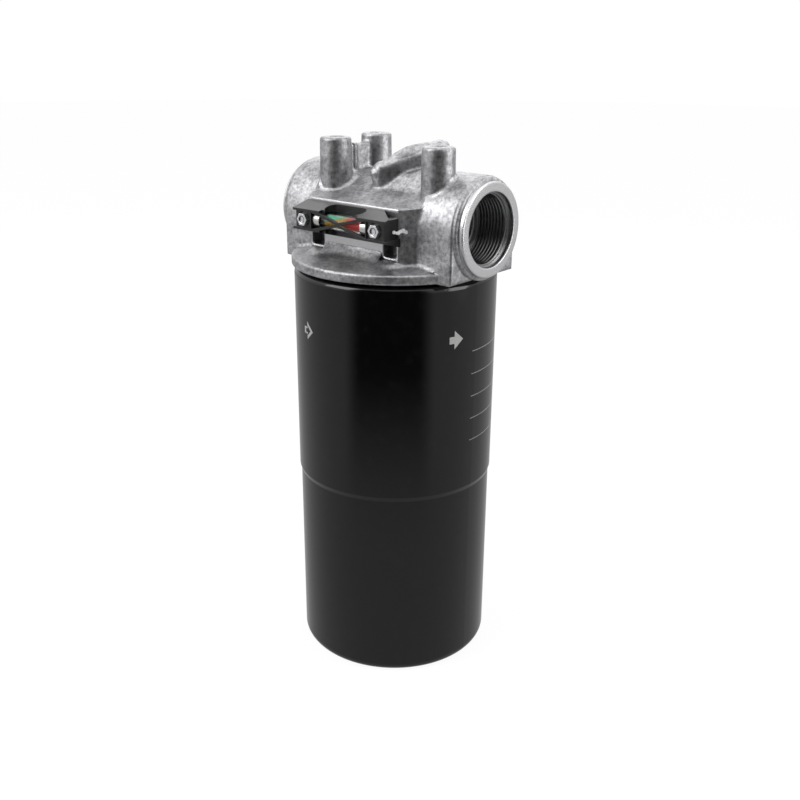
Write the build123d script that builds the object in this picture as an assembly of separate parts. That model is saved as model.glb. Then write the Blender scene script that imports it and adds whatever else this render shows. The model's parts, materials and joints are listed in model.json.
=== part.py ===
from build123d import *
import math
import os

# Return line filter: a cast head with two in-line ports, a spin-on can below it
# and a differential clogging indicator on its front.
# Millimetres, +Z up. The origin is the centre of the can's flat base, +X runs
# along the port axis towards the outlet, and the indicator faces -Y.

# ---------------------------------------------------------------- spin-on can
CAN_R = 64.5              # outside radius above the neck-in
CAN_LOWER_R = 63.5        # outside radius below the neck-in
CAN_WALL = 1.0
CAN_BASE_CORNER_R = 6.0
CAN_STEP_Z = 128.0        # middle of the neck-in
CAN_STEP_H = 3.0
SEAM_Z = 260.0            # where the wall turns into the rolled seam
SEAM_TOP_Z = 263.8
SEAM_LIP_R = 59.5         # inside radius of the rolled seam

LID_SHEET = 1.0           # seam lid, pressed sheet
LID_INNER_R = 42.0
PLATE_R = 56.0            # threaded base plate of the can
PLATE_T = 6.0
PLATE_TOP_Z = 260.0
INLET_HOLE_R = 4.5
INLET_HOLE_PCR = 33.0
INLET_HOLE_COUNT = 8
GASKET_R = 54.0           # mean radius of the can gasket
GASKET_W = 6.0
GASKET_H = 5.0

# ------------------------------------------------------------ filter element
ELEMENT_OUTER_R = 56.0
ELEMENT_INNER_R = 25.0
ELEMENT_BOTTOM_Z = 24.0
ELEMENT_TOP_Z = 240.0
END_CAP_T = 1.2
END_CAP_RIM = 5.0
PLEAT_COUNT = 60
PLEAT_T = 1.0
TUBE_R = 23.5             # perforated centre tube
TUBE_WALL = 0.8
TUBE_HOLE_R = 3.0
TUBE_HOLE_ROWS = 12
TUBE_HOLES_PER_ROW = 8
SPRING_WIRE_R = 1.6       # spring that presses the element up
SPRING_MEAN_R = 26.0
SPRING_TURNS = 3

# ---------------------------------------------------------------------- head
PORT_Z = 294.4            # height of the port axis
PORT_FACE_X = 73.2        # machined faces of the two ports
PORT_RING_R = 27.9
PORT_SHOULDER_R = 30.3
PORT_SHOULDER_X = 70.2
BARREL_R = 31.0
BARREL_END_X = 68.0
BARREL_START_X = 43.5
BARREL_LEAD_X = 28.0      # the barrel flares out of the body from here
BARREL_LEAD_R = 22.0
THREAD_MAJOR_R = 20.955   # G 1 1/4 pipe thread
THREAD_L = 23.0
COUNTERBORE_R = 22.2
COUNTERBORE_L = 3.0
PASSAGE_R = 17.5

FLANGE_R = 66.0
FLANGE_BOTTOM_Z = 265.3
FLANGE_TOP_Z = 271.0
SKIRT_R = 40.0            # foot of the conical top of the flange
SKIRT_Z = 276.4
GASKET_LAND_Z = 266.8

PAD_Y = -39.5             # machined face that carries the indicator
PAD_HALF_X = 35.5
PAD_TOP_Z = 306.8
BODY_HALF_X = 44.5
BODY_HALF_Y = 29.0

BOSS_TOP_Z = 340.8
BOSS_TOP_R = 9.8
BOSS_FOOT_R = 10.4
BOSS_ROUNDING = 1.8
BOSS_FOOT_Z = 298.0
BOSS_LEFT_X = -37.7
BOSS_RIGHT_X = 44.3
BOSS_FRONT_Y = -14.4
BOSS_BACK_Y = 23.7
BOSS_HOLE_R = 4.25        # tapping size of M10
BOSS_HOLE_L = 20.0
BOSSES = [
    (BOSS_LEFT_X, BOSS_FRONT_Y),
    (BOSS_LEFT_X, BOSS_BACK_Y),
    (BOSS_RIGHT_X, BOSS_FRONT_Y),
]

HUMP_START = (-4.0, -9.0)
HUMP_END = (17.0, 17.0)
HUMP_START_R = 5.8
HUMP_END_R = 9.0
HUMP_START_Z = 328.2
HUMP_END_Z = 339.4
HUMP_ROUNDING = 5.2

CHAMBER_OUTER_R = 46.0    # ring chamber above the can's inlet holes
CHAMBER_INNER_R = 25.5
CHAMBER_TOP_Z = 272.4
RISER_X = (-45.0, -24.0)  # cored way from the inlet port down to the ring chamber
RISER_HALF_Y = 14.0
RISER_TOP_Z = 300.0
INLET_END_X = -24.0
HUB_BOTTOM_Z = 264.0      # foot of the centre hub that takes the nipple
TAP_R = 1.2               # pressure taps behind the indicator
TAP_X = 25.5
TAP_Z = 290.4
TAP_DEPTH = 26.0
POCKET_HALF_W = 5.2       # cored pockets in the pad's lower corners
POCKET_X = 29.3
POCKET_Z = (278.0, 286.5)
POCKET_DEPTH = 7.0

# -------------------------------------------------------------- nipple (stud)
NIPPLE_R = 19.0           # 1 1/2 thread, as a plain cylinder at its major size
NIPPLE_BORE_R = 15.0
NIPPLE_TOP_Z = 276.0
NIPPLE_BOTTOM_Z = 246.0
NIPPLE_COLLAR_AF = 42.0
NIPPLE_COLLAR_Z = 260.6
THREAD_GAP = 0.06

# --------------------------------------------------------------- bypass valve
SEAT_R = 12.0
SEAT_BORE_R = 8.5
SEAT_X = (-24.0, -18.5)
POPPET_R = 10.2
POPPET_T = 2.4
SEAT_GAP = 0.1
STEM_R = 2.0
CAGE_R = 11.8
CAGE_WALL = 1.2
CAGE_END_X = 1.0
CAGE_END_T = 2.0
CAGE_LEGS = 3
BYPASS_WIRE_R = 0.7
BYPASS_SPRING_R = 6.0

# ------------------------------------------------------------------ indicator
IND_HALF_X = 35.5
IND_PLATE_HALF_X = 37.3   # top and bottom plates stand past the end blocks
IND_DEPTH = 13.5
IND_Z = 295.4
IND_HALF_Z = 6.4
IND_PLATE_T = 1.4
IND_FLARE = 3.6           # the plates spread apart towards the pad
IND_CORNER_X = 23.5       # cut corner of the top plate
IND_FRONT_T = 1.8
IND_BACK_T = 1.5
IND_BLOCK_L = 13.5        # solid block at each end, round the screw
IND_BLOCK_SET_IN = 0.9
STRUT_W = 1.5             # bars of the X in front of the tube
NOTCH_HALF_X = 15.0
WINDOW_HALF_Z = 5.0
GLASS_AXIS_Y = PAD_Y - 6.9
GLASS_R = 5.0
GLASS_IN_R = 3.9
GLASS_HALF_L = 25.0
GLASS_SOCKET_X = 26.0
COLLAR_R = 5.6
COLLAR_X = (16.5, 23.0)
PISTON_R = 3.8
PISTON_IN_R = 2.6
PISTON_X = (-17.4, 15.7)
PISTON_END_T = 1.5
IND_WIRE_R = 0.35
IND_SPRING_R = 1.9
SCREW_X = 29.0
SCREW_HEAD_AF = 7.0
SCREW_HEAD_L = 2.8
SCREW_R = 2.0
SCREW_DEPTH = 9.0
SCREW_HOLE_DEPTH = 12.0
SCREW_RECESS_R = 4.9
SCREW_RECESS_L = 0.8
SEAL_WIRE_R = 0.6


def ring(outer_r, inner_r, z0, z1):
    """Plain ring about the can axis."""
    full = Cylinder(outer_r, z1 - z0, align=(Align.CENTER, Align.CENTER, Align.MIN))
    hole = Cylinder(inner_r, z1 - z0, align=(Align.CENTER, Align.CENTER, Align.MIN))
    return Pos(0, 0, z0) * (full - hole)


def disc(radius, z0, z1, x=0.0, y=0.0):
    """Plain upright cylinder."""
    body = Cylinder(radius, z1 - z0, align=(Align.CENTER, Align.CENTER, Align.MIN))
    return Pos(x, y, z0) * body


def rod_x(radius, x0, x1, y=0.0, z=0.0):
    """Plain cylinder that lies along X."""
    body = Cylinder(radius, x1 - x0, align=(Align.CENTER, Align.CENTER, Align.MIN))
    return Pos(x0, y, z) * Rot(0, 90, 0) * body


def rod_y(radius, y0, y1, x=0.0, z=0.0):
    """Plain cylinder that lies along Y."""
    body = Cylinder(radius, y1 - y0, align=(Align.CENTER, Align.CENTER, Align.MIN))
    return Pos(x, y0, z) * Rot(-90, 0, 0) * body


def block(x0, x1, y0, y1, z0, z1):
    """Box between two corners."""
    return Pos((x0 + x1) / 2, (y0 + y1) / 2, (z0 + z1) / 2) * Box(x1 - x0, y1 - y0, z1 - z0)


def arc(centre, radius, start_deg, end_deg):
    """Arc in the section plane, through its middle point."""
    angles = [math.radians(a) for a in (start_deg, (start_deg + end_deg) / 2, end_deg)]
    points = [(centre[0] + radius * math.cos(a), centre[1] + radius * math.sin(a)) for a in angles]
    return ThreePointArc(*points)


def turned(outline):
    """Solid of revolution about Z from a closed section drawn as (radius, height)."""
    return revolve(Plane.XZ * make_face(outline), Axis.Z)


def turned_points(points):
    """Solid of revolution about Z from straight lines through (radius, height) points."""
    return turned(Polyline(points, close=True))


def coil(mean_r, wire_r, z0, z1, turns):
    """Open coil spring about Z with its wire ends inside z0 and z1."""
    height = z1 - z0 - 2 * wire_r
    path = Helix(height / turns, height, mean_r)
    start = Plane(origin=path @ 0, z_dir=path % 0)
    return Pos(0, 0, z0 + wire_r) * sweep(start * Circle(wire_r), path)


# ------------------------------------------------------------------- the can
def can_shell():
    """Drawn steel can: flat base, rounded corner, neck-in and rolled seam."""
    corner = CAN_BASE_CORNER_R
    corner_in = corner - CAN_WALL
    step_low = CAN_STEP_Z - CAN_STEP_H / 2
    step_high = CAN_STEP_Z + CAN_STEP_H / 2
    seam_r = SEAM_TOP_Z - SEAM_Z
    seam_in_r = seam_r - CAN_WALL
    low = CAN_LOWER_R
    high = CAN_R
    low_in = low - CAN_WALL
    high_in = high - CAN_WALL
    return turned([
        Line((0, 0), (low - corner, 0)),
        arc((low - corner, corner), corner, -90, 0),
        Polyline((low, corner), (low, step_low), (high, step_high), (high, SEAM_Z)),
        arc((high - seam_r, SEAM_Z), seam_r, 0, 90),
        Polyline((high - seam_r, SEAM_TOP_Z), (SEAM_LIP_R, SEAM_TOP_Z),
                 (SEAM_LIP_R, SEAM_TOP_Z - CAN_WALL), (high - seam_r, SEAM_TOP_Z - CAN_WALL)),
        arc((high - seam_r, SEAM_Z), seam_in_r, 90, 0),
        Polyline((high_in, SEAM_Z), (high_in, step_high), (low_in, step_low), (low_in, corner)),
        arc((low - corner, corner), corner_in, 0, -90),
        Polyline((low - corner, CAN_WALL), (0, CAN_WALL), (0, 0)),
    ])


def seam_lid():
    """Pressed lid: its rim lies under the rolled seam and its trough holds the gasket."""
    rim_top = SEAM_TOP_Z - CAN_WALL
    trough_r = GASKET_R + GASKET_W / 2 + 0.4
    inner_r = GASKET_R - GASKET_W / 2 - 0.4
    floor_z = PLATE_TOP_Z + LID_SHEET
    lip_z = floor_z + 1.6
    t = LID_SHEET
    return turned_points([
        (CAN_R - SEAM_TOP_Z + SEAM_Z, rim_top),
        (trough_r, rim_top),
        (trough_r, floor_z),
        (inner_r, floor_z),
        (inner_r, lip_z),
        (inner_r - t, lip_z),
        (inner_r - t, floor_z - t),
        (trough_r + t, floor_z - t),
        (trough_r + t, rim_top - t),
        (CAN_R - SEAM_TOP_Z + SEAM_Z, rim_top - t),
    ])


def base_plate():
    """Thick plate welded under the lid: threaded centre and a ring of inlet holes."""
    plate = ring(PLATE_R, NIPPLE_R + THREAD_GAP, PLATE_TOP_Z - PLATE_T, PLATE_TOP_Z)
    hub = ring(NIPPLE_R + 4.0, NIPPLE_R + THREAD_GAP, PLATE_TOP_Z - PLATE_T - 5.0, PLATE_TOP_Z)
    hole = disc(INLET_HOLE_R, PLATE_TOP_Z - PLATE_T - 1, PLATE_TOP_Z + 1)
    return plate + hub - PolarLocations(INLET_HOLE_PCR, INLET_HOLE_COUNT) * hole


def can_gasket():
    """Square-section ring with rounded corners that seals on the head."""
    z0 = PLATE_TOP_Z + LID_SHEET
    gasket = ring(GASKET_R + GASKET_W / 2, GASKET_R - GASKET_W / 2, z0, GASKET_LAND_Z)
    return fillet(gasket.edges(), 0.8)


# -------------------------------------------------------------- filter element
def end_cap(z0, z1, rim_down, closed):
    """Pressed end cap with an outer rim over the pleats."""
    inner_r = 0.0 if closed else TUBE_R - TUBE_WALL
    plate = disc(ELEMENT_OUTER_R, z0, z1)
    if not closed:
        plate -= disc(inner_r, z0 - 1, z1 + 1)
    rim_z = (z0 - END_CAP_RIM, z1) if rim_down else (z0, z1 + END_CAP_RIM)
    return plate + ring(ELEMENT_OUTER_R, ELEMENT_OUTER_R - 0.8, *rim_z)


def top_end_cap():
    return end_cap(ELEMENT_TOP_Z, ELEMENT_TOP_Z + END_CAP_T, True, False)


def bottom_end_cap():
    return end_cap(ELEMENT_BOTTOM_Z - END_CAP_T, ELEMENT_BOTTOM_Z, False, True)


def pleated_media():
    """Star-folded filter mat: one zigzag wall of even thickness."""
    half = math.pi / PLEAT_COUNT
    lean = PLEAT_T / 2
    outer = ELEMENT_OUTER_R - 1.0
    inner = ELEMENT_INNER_R
    outside = []
    inside = []
    for fold in range(PLEAT_COUNT):
        crest = 2 * half * fold
        valley = crest + half
        outside.append((outer * math.cos(crest), outer * math.sin(crest)))
        outside.append(((inner + lean) * math.cos(valley), (inner + lean) * math.sin(valley)))
        inside.append(((outer - 8 * lean) * math.cos(crest), (outer - 8 * lean) * math.sin(crest)))
        inside.append(((inner - lean) * math.cos(valley), (inner - lean) * math.sin(valley)))
    wall = make_face(Polyline(outside, close=True)) - make_face(Polyline(inside, close=True))
    return Pos(0, 0, ELEMENT_BOTTOM_Z) * extrude(wall, ELEMENT_TOP_Z - ELEMENT_BOTTOM_Z)


def centre_tube():
    """Perforated tube that holds the pleats apart."""
    tube = ring(TUBE_R, TUBE_R - TUBE_WALL, ELEMENT_BOTTOM_Z, ELEMENT_TOP_Z)
    pitch = (ELEMENT_TOP_Z - ELEMENT_BOTTOM_Z) / TUBE_HOLE_ROWS
    drill = rod_x(TUBE_HOLE_R, TUBE_R - 3 * TUBE_WALL, TUBE_R + TUBE_WALL)
    holes = []
    for row in range(TUBE_HOLE_ROWS):
        z = ELEMENT_BOTTOM_Z + pitch * (row + 0.5)
        turn = 180.0 / TUBE_HOLES_PER_ROW * (row % 2)
        for hole in range(TUBE_HOLES_PER_ROW):
            holes.append(Pos(0, 0, z) * Rot(0, 0, turn + 360.0 / TUBE_HOLES_PER_ROW * hole) * drill)
    return tube - holes


def element_seal():
    """Rubber collar between the element and the nipple."""
    return ring(NIPPLE_R + 4.6, NIPPLE_R + 0.3, ELEMENT_TOP_Z + END_CAP_T,
                PLATE_TOP_Z - PLATE_T - 5.0)


def element_spring():
    """Coil that presses the element against the base plate."""
    return coil(SPRING_MEAN_R, SPRING_WIRE_R, CAN_WALL, ELEMENT_BOTTOM_Z - END_CAP_T, SPRING_TURNS)


# ------------------------------------------------------------------- the head
def flange():
    """Round flange with a vertical rim and a low conical top."""
    solid = turned_points([
        (0, FLANGE_BOTTOM_Z),
        (FLANGE_R, FLANGE_BOTTOM_Z),
        (FLANGE_R, FLANGE_TOP_Z),
        (SKIRT_R, SKIRT_Z),
        (0, SKIRT_Z),
    ])
    rim = solid.edges().filter_by(GeomType.CIRCLE).filter_by(lambda e: e.radius > FLANGE_R - 0.1)
    return fillet(rim, 1.2)


def body_section():
    """Section of the body across the ports: pad face, rising deck and rounded back."""
    foot_z = FLANGE_BOTTOM_Z + 3
    back_y = 38.0
    back_z = 288.0
    deck = Spline((PAD_Y, PAD_TOP_Z), (-24.0, 308.8), (-12.0, 312.8), (0.0, 317.4),
                  (10.0, 319.6), (18.0, 317.6), (26.0, 310.0), (34.0, 298.0), (back_y, back_z))
    walls = Polyline((back_y, back_z), (back_y, foot_z), (PAD_Y, foot_z), (PAD_Y, PAD_TOP_Z))
    return make_face([deck, walls])


def body():
    """Middle of the casting, between the barrels and behind the pad."""
    loaf = extrude(Plane.YZ * body_section(), BODY_HALF_X + 5, both=True)
    back_x = 27.0
    back_y = 38.0
    plan = make_face(Polyline([
        (-PAD_HALF_X, PAD_Y - 5), (PAD_HALF_X, PAD_Y - 5), (PAD_HALF_X, PAD_Y),
        (BODY_HALF_X, -BODY_HALF_Y), (BODY_HALF_X, BODY_HALF_Y - 4),
        (back_x, back_y), (back_x, back_y + 5), (-back_x, back_y + 5), (-back_x, back_y),
        (-BODY_HALF_X, BODY_HALF_Y - 4), (-BODY_HALF_X, -BODY_HALF_Y), (-PAD_HALF_X, PAD_Y),
    ], close=True))
    prism = extrude(Pos(0, 0, FLANGE_BOTTOM_Z) * plan, 80)
    trimmed = loaf & prism
    corners = trimmed.edges().filter_by(Axis.Z).group_by(Axis.Y)[0]
    return fillet(corners, 1.2)


def barrel():
    """Outlet-side port boss: arched over the bore, straight down to the flange."""
    foot_z = FLANGE_BOTTOM_Z
    arch = make_face([
        arc((0, PORT_Z), BARREL_R, 0, 180),
        Polyline((-BARREL_R, PORT_Z), (-BARREL_R, foot_z), (BARREL_R, foot_z), (BARREL_R, PORT_Z)),
    ])
    solid = extrude(Plane.YZ.offset(BARREL_START_X) * arch, BARREL_END_X - BARREL_START_X)
    solid = fillet(solid.faces().sort_by(Axis.X)[-1].edges(), 1.5)
    lead = Pos(BARREL_LEAD_X, 0, PORT_Z) * Rot(0, 90, 0) * Cone(
        BARREL_LEAD_R, BARREL_R, BARREL_START_X + 0.5 - BARREL_LEAD_X,
        align=(Align.CENTER, Align.CENTER, Align.MIN))
    inside_x = BARREL_END_X - 1.2
    shoulder = rod_x(PORT_SHOULDER_R, inside_x, PORT_SHOULDER_X, z=PORT_Z)
    shoulder = fillet(shoulder.faces().sort_by(Axis.X)[-1].edges(), 1.8)
    face_ring = rod_x(PORT_RING_R, inside_x, PORT_FACE_X, z=PORT_Z)
    face_ring = chamfer(face_ring.faces().sort_by(Axis.X)[-1].edges(), 0.4)
    return solid + [lead, shoulder, face_ring]


def boss(x, y):
    """Tapered mounting boss with a rounded top edge."""
    height = BOSS_TOP_Z - BOSS_FOOT_Z
    cone = Cone(BOSS_FOOT_R, BOSS_TOP_R, height, align=(Align.CENTER, Align.CENTER, Align.MIN))
    cone = fillet(cone.faces().sort_by(Axis.Z)[-1].edges(), BOSS_ROUNDING)
    return Pos(x, y, BOSS_FOOT_Z) * cone


def boss_web():
    """Ribbed web between the two left bosses."""
    web = block(BOSS_LEFT_X - 3, BOSS_LEFT_X + 3, BOSS_FRONT_Y, BOSS_BACK_Y, BOSS_FOOT_Z, 335.4)
    rib = disc(2.4, BOSS_FOOT_Z, 336.4, BOSS_LEFT_X + 3, (BOSS_FRONT_Y + BOSS_BACK_Y) / 2 - 6)
    return web + rib


def taper_outline(centre_0, radius_0, centre_1, radius_1):
    """Two arcs joined by their common outer tangents."""
    heading = math.degrees(math.atan2(centre_1[1] - centre_0[1], centre_1[0] - centre_0[0]))
    half = math.degrees(math.acos((radius_0 - radius_1) / math.dist(centre_0, centre_1)))
    back = arc(centre_0, radius_0, heading + half, heading - half + 360)
    front = arc(centre_1, radius_1, heading - half, heading + half)
    return make_face([back, Line(back @ 1, front @ 0), front, Line(front @ 1, back @ 0)])


def hump():
    """Arched rib that climbs from the deck towards the back of the outlet barrel."""
    start = Vector(*HUMP_START, HUMP_START_Z)
    along = Vector(*HUMP_END, HUMP_END_Z) - start
    side = Vector(0, 0, 1).cross(along)
    foot = taper_outline(HUMP_START, HUMP_START_R, HUMP_END, HUMP_END_R)
    wall = extrude(Pos(0, 0, BOSS_FOOT_Z) * foot, 60)
    wall -= Plane(origin=start, z_dir=along.cross(side)) * Box(
        150, 150, 60, align=(Align.CENTER, Align.CENTER, Align.MIN))
    top = wall.faces().filter_by(GeomType.PLANE).sort_by(Axis.Z)[-1]
    return fillet(top.edges(), HUMP_ROUNDING)


def port_bores():
    """Counterbore, thread bore and passage of the outlet, then of the inlet."""
    thread_x = PORT_FACE_X - COUNTERBORE_L
    passage_x = thread_x - THREAD_L
    cuts = []
    for side, inner_x in ((1, 0.0), (-1, -INLET_END_X)):
        for radius, x0, x1 in (
            (COUNTERBORE_R, thread_x, PORT_FACE_X + 1),
            (THREAD_MAJOR_R, passage_x, PORT_FACE_X),
            (PASSAGE_R, inner_x, PORT_FACE_X),
        ):
            ends = sorted((side * x0, side * x1))
            cuts.append(rod_x(radius, *ends, z=PORT_Z))
    return cuts


def flow_chambers():
    """Cored spaces: ring chamber, riser, centre chamber and the bypass hole."""
    return [
        ring(CHAMBER_OUTER_R, CHAMBER_INNER_R, FLANGE_BOTTOM_Z - 5, CHAMBER_TOP_Z),
        block(*RISER_X, -RISER_HALF_Y, RISER_HALF_Y, CHAMBER_TOP_Z - 2, RISER_TOP_Z),
        Pos(0, 0, PORT_Z) * Sphere(PASSAGE_R),
        disc(NIPPLE_BORE_R, HUB_BOTTOM_Z - 2, PORT_Z),
        disc(NIPPLE_R + THREAD_GAP, HUB_BOTTOM_Z - 2, NIPPLE_TOP_Z),
        rod_x(SEAT_R, INLET_END_X - 0.5, -5.0, z=PORT_Z),
        ring(FLANGE_R - 7.5, CHAMBER_OUTER_R + 3.5, FLANGE_BOTTOM_Z - 2, GASKET_LAND_Z),
    ]


def boss_holes():
    """Blind tapped holes of the mounting bosses, with a countersunk mouth."""
    cuts = []
    for x, y in BOSSES:
        cuts.append(disc(BOSS_HOLE_R, BOSS_TOP_Z - BOSS_HOLE_L, BOSS_TOP_Z + 1, x, y))
        mouth = Cone(BOSS_HOLE_R, BOSS_HOLE_R + 1.2, 1.2, align=(Align.CENTER, Align.CENTER, Align.MAX))
        cuts.append(Pos(x, y, BOSS_TOP_Z + 0.2) * mouth)
    return cuts


def pad_cuts():
    """Screw holes, pressure taps and cored pockets in the indicator's pad."""
    cuts = []
    for side in (-1, 1):
        cuts.append(rod_y(SCREW_R, PAD_Y - 1, PAD_Y + SCREW_HOLE_DEPTH, side * SCREW_X, IND_Z))
        cuts.append(rod_y(TAP_R, PAD_Y - 1, PAD_Y + TAP_DEPTH, side * TAP_X, TAP_Z))
        pocket = block(side * POCKET_X - POCKET_HALF_W, side * POCKET_X + POCKET_HALF_W,
                       PAD_Y - 2, PAD_Y + POCKET_DEPTH, *POCKET_Z)
        cuts.append(fillet(pocket.edges().filter_by(Axis.Y), 2.0))
    return cuts


def filter_head():
    """Cast head, one piece, with its machined faces and bores."""
    outlet = barrel()
    inlet = outlet.mirror(Plane.YZ)
    hub = disc(CHAMBER_INNER_R, HUB_BOTTOM_Z, SKIRT_Z)
    casting = flange() + [body(), outlet, inlet, hub, boss_web(), hump()]
    casting += [boss(x, y) for x, y in BOSSES]
    return casting - (port_bores() + flow_chambers() + boss_holes() + pad_cuts())


def nipple():
    """Threaded stud with a hexagon collar: upper thread in the head, lower in the can."""
    stud = disc(NIPPLE_R, NIPPLE_BOTTOM_Z, NIPPLE_TOP_Z)
    stud = chamfer(stud.edges().filter_by(GeomType.CIRCLE), 1.0)
    collar = extrude(Pos(0, 0, NIPPLE_COLLAR_Z) * RegularPolygon(NIPPLE_COLLAR_AF / 2, 6, False),
                     HUB_BOTTOM_Z - NIPPLE_COLLAR_Z)
    return stud + collar - disc(NIPPLE_BORE_R, NIPPLE_BOTTOM_Z - 1, NIPPLE_TOP_Z + 1)


# --------------------------------------------------------------- bypass valve
def bypass_seat():
    seat = rod_x(SEAT_R, *SEAT_X, z=PORT_Z) - rod_x(SEAT_BORE_R, *SEAT_X, z=PORT_Z)
    return chamfer(seat.edges().filter_by(GeomType.CIRCLE).filter_by(lambda e: e.radius > SEAT_R - 0.1), 0.4)


def bypass_poppet():
    """Disc with a guide stem, closed against the seat."""
    face_x = SEAT_X[1] + SEAT_GAP
    plate = rod_x(POPPET_R, face_x, face_x + POPPET_T, z=PORT_Z)
    plate = chamfer(plate.faces().sort_by(Axis.X)[-1].edges(), 0.8)
    stem = rod_x(STEM_R, face_x, CAGE_END_X + CAGE_END_T + 2.0, z=PORT_Z)
    return plate + stem


def bypass_cage():
    """Open cage on the seat: foot ring, three legs and an end with the stem guide."""
    foot = rod_x(CAGE_R, SEAT_X[1], SEAT_X[1] + 1.5, z=PORT_Z)
    foot -= rod_x(CAGE_R - CAGE_WALL, SEAT_X[1] - 1, SEAT_X[1] + 3, z=PORT_Z)
    end = rod_x(CAGE_R, CAGE_END_X, CAGE_END_X + CAGE_END_T, z=PORT_Z)
    end -= rod_x(STEM_R + 0.1, CAGE_END_X - 1, CAGE_END_X + CAGE_END_T + 1, z=PORT_Z)
    shell = rod_x(CAGE_R, SEAT_X[1], CAGE_END_X + CAGE_END_T, z=PORT_Z)
    shell -= rod_x(CAGE_R - CAGE_WALL, SEAT_X[1] - 1, CAGE_END_X + CAGE_END_T + 1, z=PORT_Z)
    legs = []
    for leg in range(CAGE_LEGS):
        wedge = block(SEAT_X[1], CAGE_END_X + CAGE_END_T, -3.0, 3.0, 0, CAGE_R + 1)
        legs.append(shell & (Pos(0, 0, PORT_Z) * Rot(360.0 / CAGE_LEGS * leg, 0, 0) * wedge))
    return foot + end + legs


def bypass_spring():
    """Coil between the poppet and the end of the cage."""
    x0 = SEAT_X[1] + SEAT_GAP + POPPET_T
    spring = coil(BYPASS_SPRING_R, BYPASS_WIRE_R, 0, CAGE_END_X - x0, 4)
    return Pos(x0, 0, PORT_Z) * Rot(0, 90, 0) * spring


# ------------------------------------------------------------------ indicator
def front_cuts():
    """Windows and notches that leave an X of bars in the front wall."""
    front_y = PAD_Y - IND_DEPTH
    window_x = IND_HALF_X - IND_BLOCK_L
    slope = (WINDOW_HALF_Z + STRUT_W / 2) / window_x
    side_window = Polyline((-STRUT_W, 0), (-window_x, WINDOW_HALF_Z),
                           (-window_x, -WINDOW_HALF_Z), close=True)
    notch_low = STRUT_W * 0.8
    notch_high = IND_HALF_Z + 1
    notch = Polyline((0, notch_low), (NOTCH_HALF_X, notch_low + slope * NOTCH_HALF_X),
                     (NOTCH_HALF_X, notch_high), (-NOTCH_HALF_X, notch_high),
                     (-NOTCH_HALF_X, notch_low + slope * NOTCH_HALF_X), close=True)
    front = Plane(origin=(0, front_y + IND_FRONT_T + 0.5, IND_Z), x_dir=(1, 0, 0), z_dir=(0, -1, 0))
    cuts = []
    for outline in (side_window, notch):
        cut = extrude(front * make_face(outline), IND_FRONT_T + 2)
        cuts.append(cut)
        flip = Plane.YZ if outline is side_window else Plane.XY.offset(IND_Z)
        cuts.append(cut.mirror(flip))
    return cuts


def indicator_housing():
    """Black moulded bridge: two end blocks, two plates and an X in front of the tube."""
    front_y = PAD_Y - IND_DEPTH
    low_z = IND_Z - IND_HALF_Z
    high_z = IND_Z + IND_HALF_Z
    window_x = IND_HALF_X - IND_BLOCK_L
    shell = block(-IND_HALF_X, IND_HALF_X, front_y, PAD_Y, low_z, high_z)
    corner = Pos(0, 0, IND_Z) * extrude(make_face(Polyline(
        (IND_CORNER_X, PAD_Y + 1), (IND_PLATE_HALF_X + 1, PAD_Y - 11),
        (IND_PLATE_HALF_X + 1, PAD_Y + 1), close=True)), 20)
    plates = []
    for side in (-1, 1):
        outer = IND_Z + side * IND_HALF_Z
        inner = outer - side * IND_PLATE_T
        wedge = make_face(Polyline((front_y, inner), (front_y, outer),
                                   (PAD_Y, outer + side * IND_FLARE), (PAD_Y, inner), close=True))
        plates.append(extrude(Plane.YZ * wedge, IND_PLATE_HALF_X, both=True))
    plates[1] -= corner
    cavity = block(-window_x, window_x, front_y + IND_FRONT_T, PAD_Y - IND_BACK_T,
                   low_z + IND_PLATE_T, high_z - IND_PLATE_T)
    slot = SlotOverall(2 * NOTCH_HALF_X, IND_DEPTH - IND_FRONT_T - IND_BACK_T)
    slot_y = (front_y + IND_FRONT_T + PAD_Y - IND_BACK_T) / 2
    slots = extrude(Pos(0, slot_y, low_z - 5) * slot, 2 * IND_HALF_Z + 10)
    cuts = [cavity, slots, *front_cuts()]
    cuts.append(rod_x(GLASS_R + 0.05, -GLASS_SOCKET_X, GLASS_SOCKET_X, GLASS_AXIS_Y, IND_Z))
    cuts.append(rod_x(COLLAR_R, -COLLAR_X[1], COLLAR_X[1], GLASS_AXIS_Y, IND_Z))
    for side in (-1, 1):
        near, far = sorted((side * (window_x + 0.8), side * (IND_HALF_X + 1)))
        cuts.append(block(near, far, front_y - 1, front_y + IND_BLOCK_SET_IN,
                          low_z + IND_PLATE_T, high_z - IND_PLATE_T))
        x = side * SCREW_X
        cuts.append(rod_y(SCREW_R + 0.2, front_y - 1, PAD_Y + 1, x, IND_Z))
        recess_end = front_y + IND_BLOCK_SET_IN + SCREW_RECESS_L
        cuts.append(rod_y(SCREW_RECESS_R, front_y - 1, recess_end, x, IND_Z))
        cuts.append(rod_y(TAP_R, PAD_Y - 4, PAD_Y + 1, side * TAP_X, TAP_Z))
        cuts.append(rod_y(TAP_R + 2 * SEAL_WIRE_R + 0.1, PAD_Y - 2 * SEAL_WIRE_R - 0.05, PAD_Y + 1,
                          side * TAP_X, TAP_Z))
    return shell + plates - cuts


def indicator_glass():
    """Clear tube that the piston runs in."""
    tube = rod_x(GLASS_R, -GLASS_HALF_L, GLASS_HALF_L, GLASS_AXIS_Y, IND_Z)
    return tube - rod_x(GLASS_IN_R, -GLASS_HALF_L - 1, GLASS_HALF_L + 1, GLASS_AXIS_Y, IND_Z)


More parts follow.
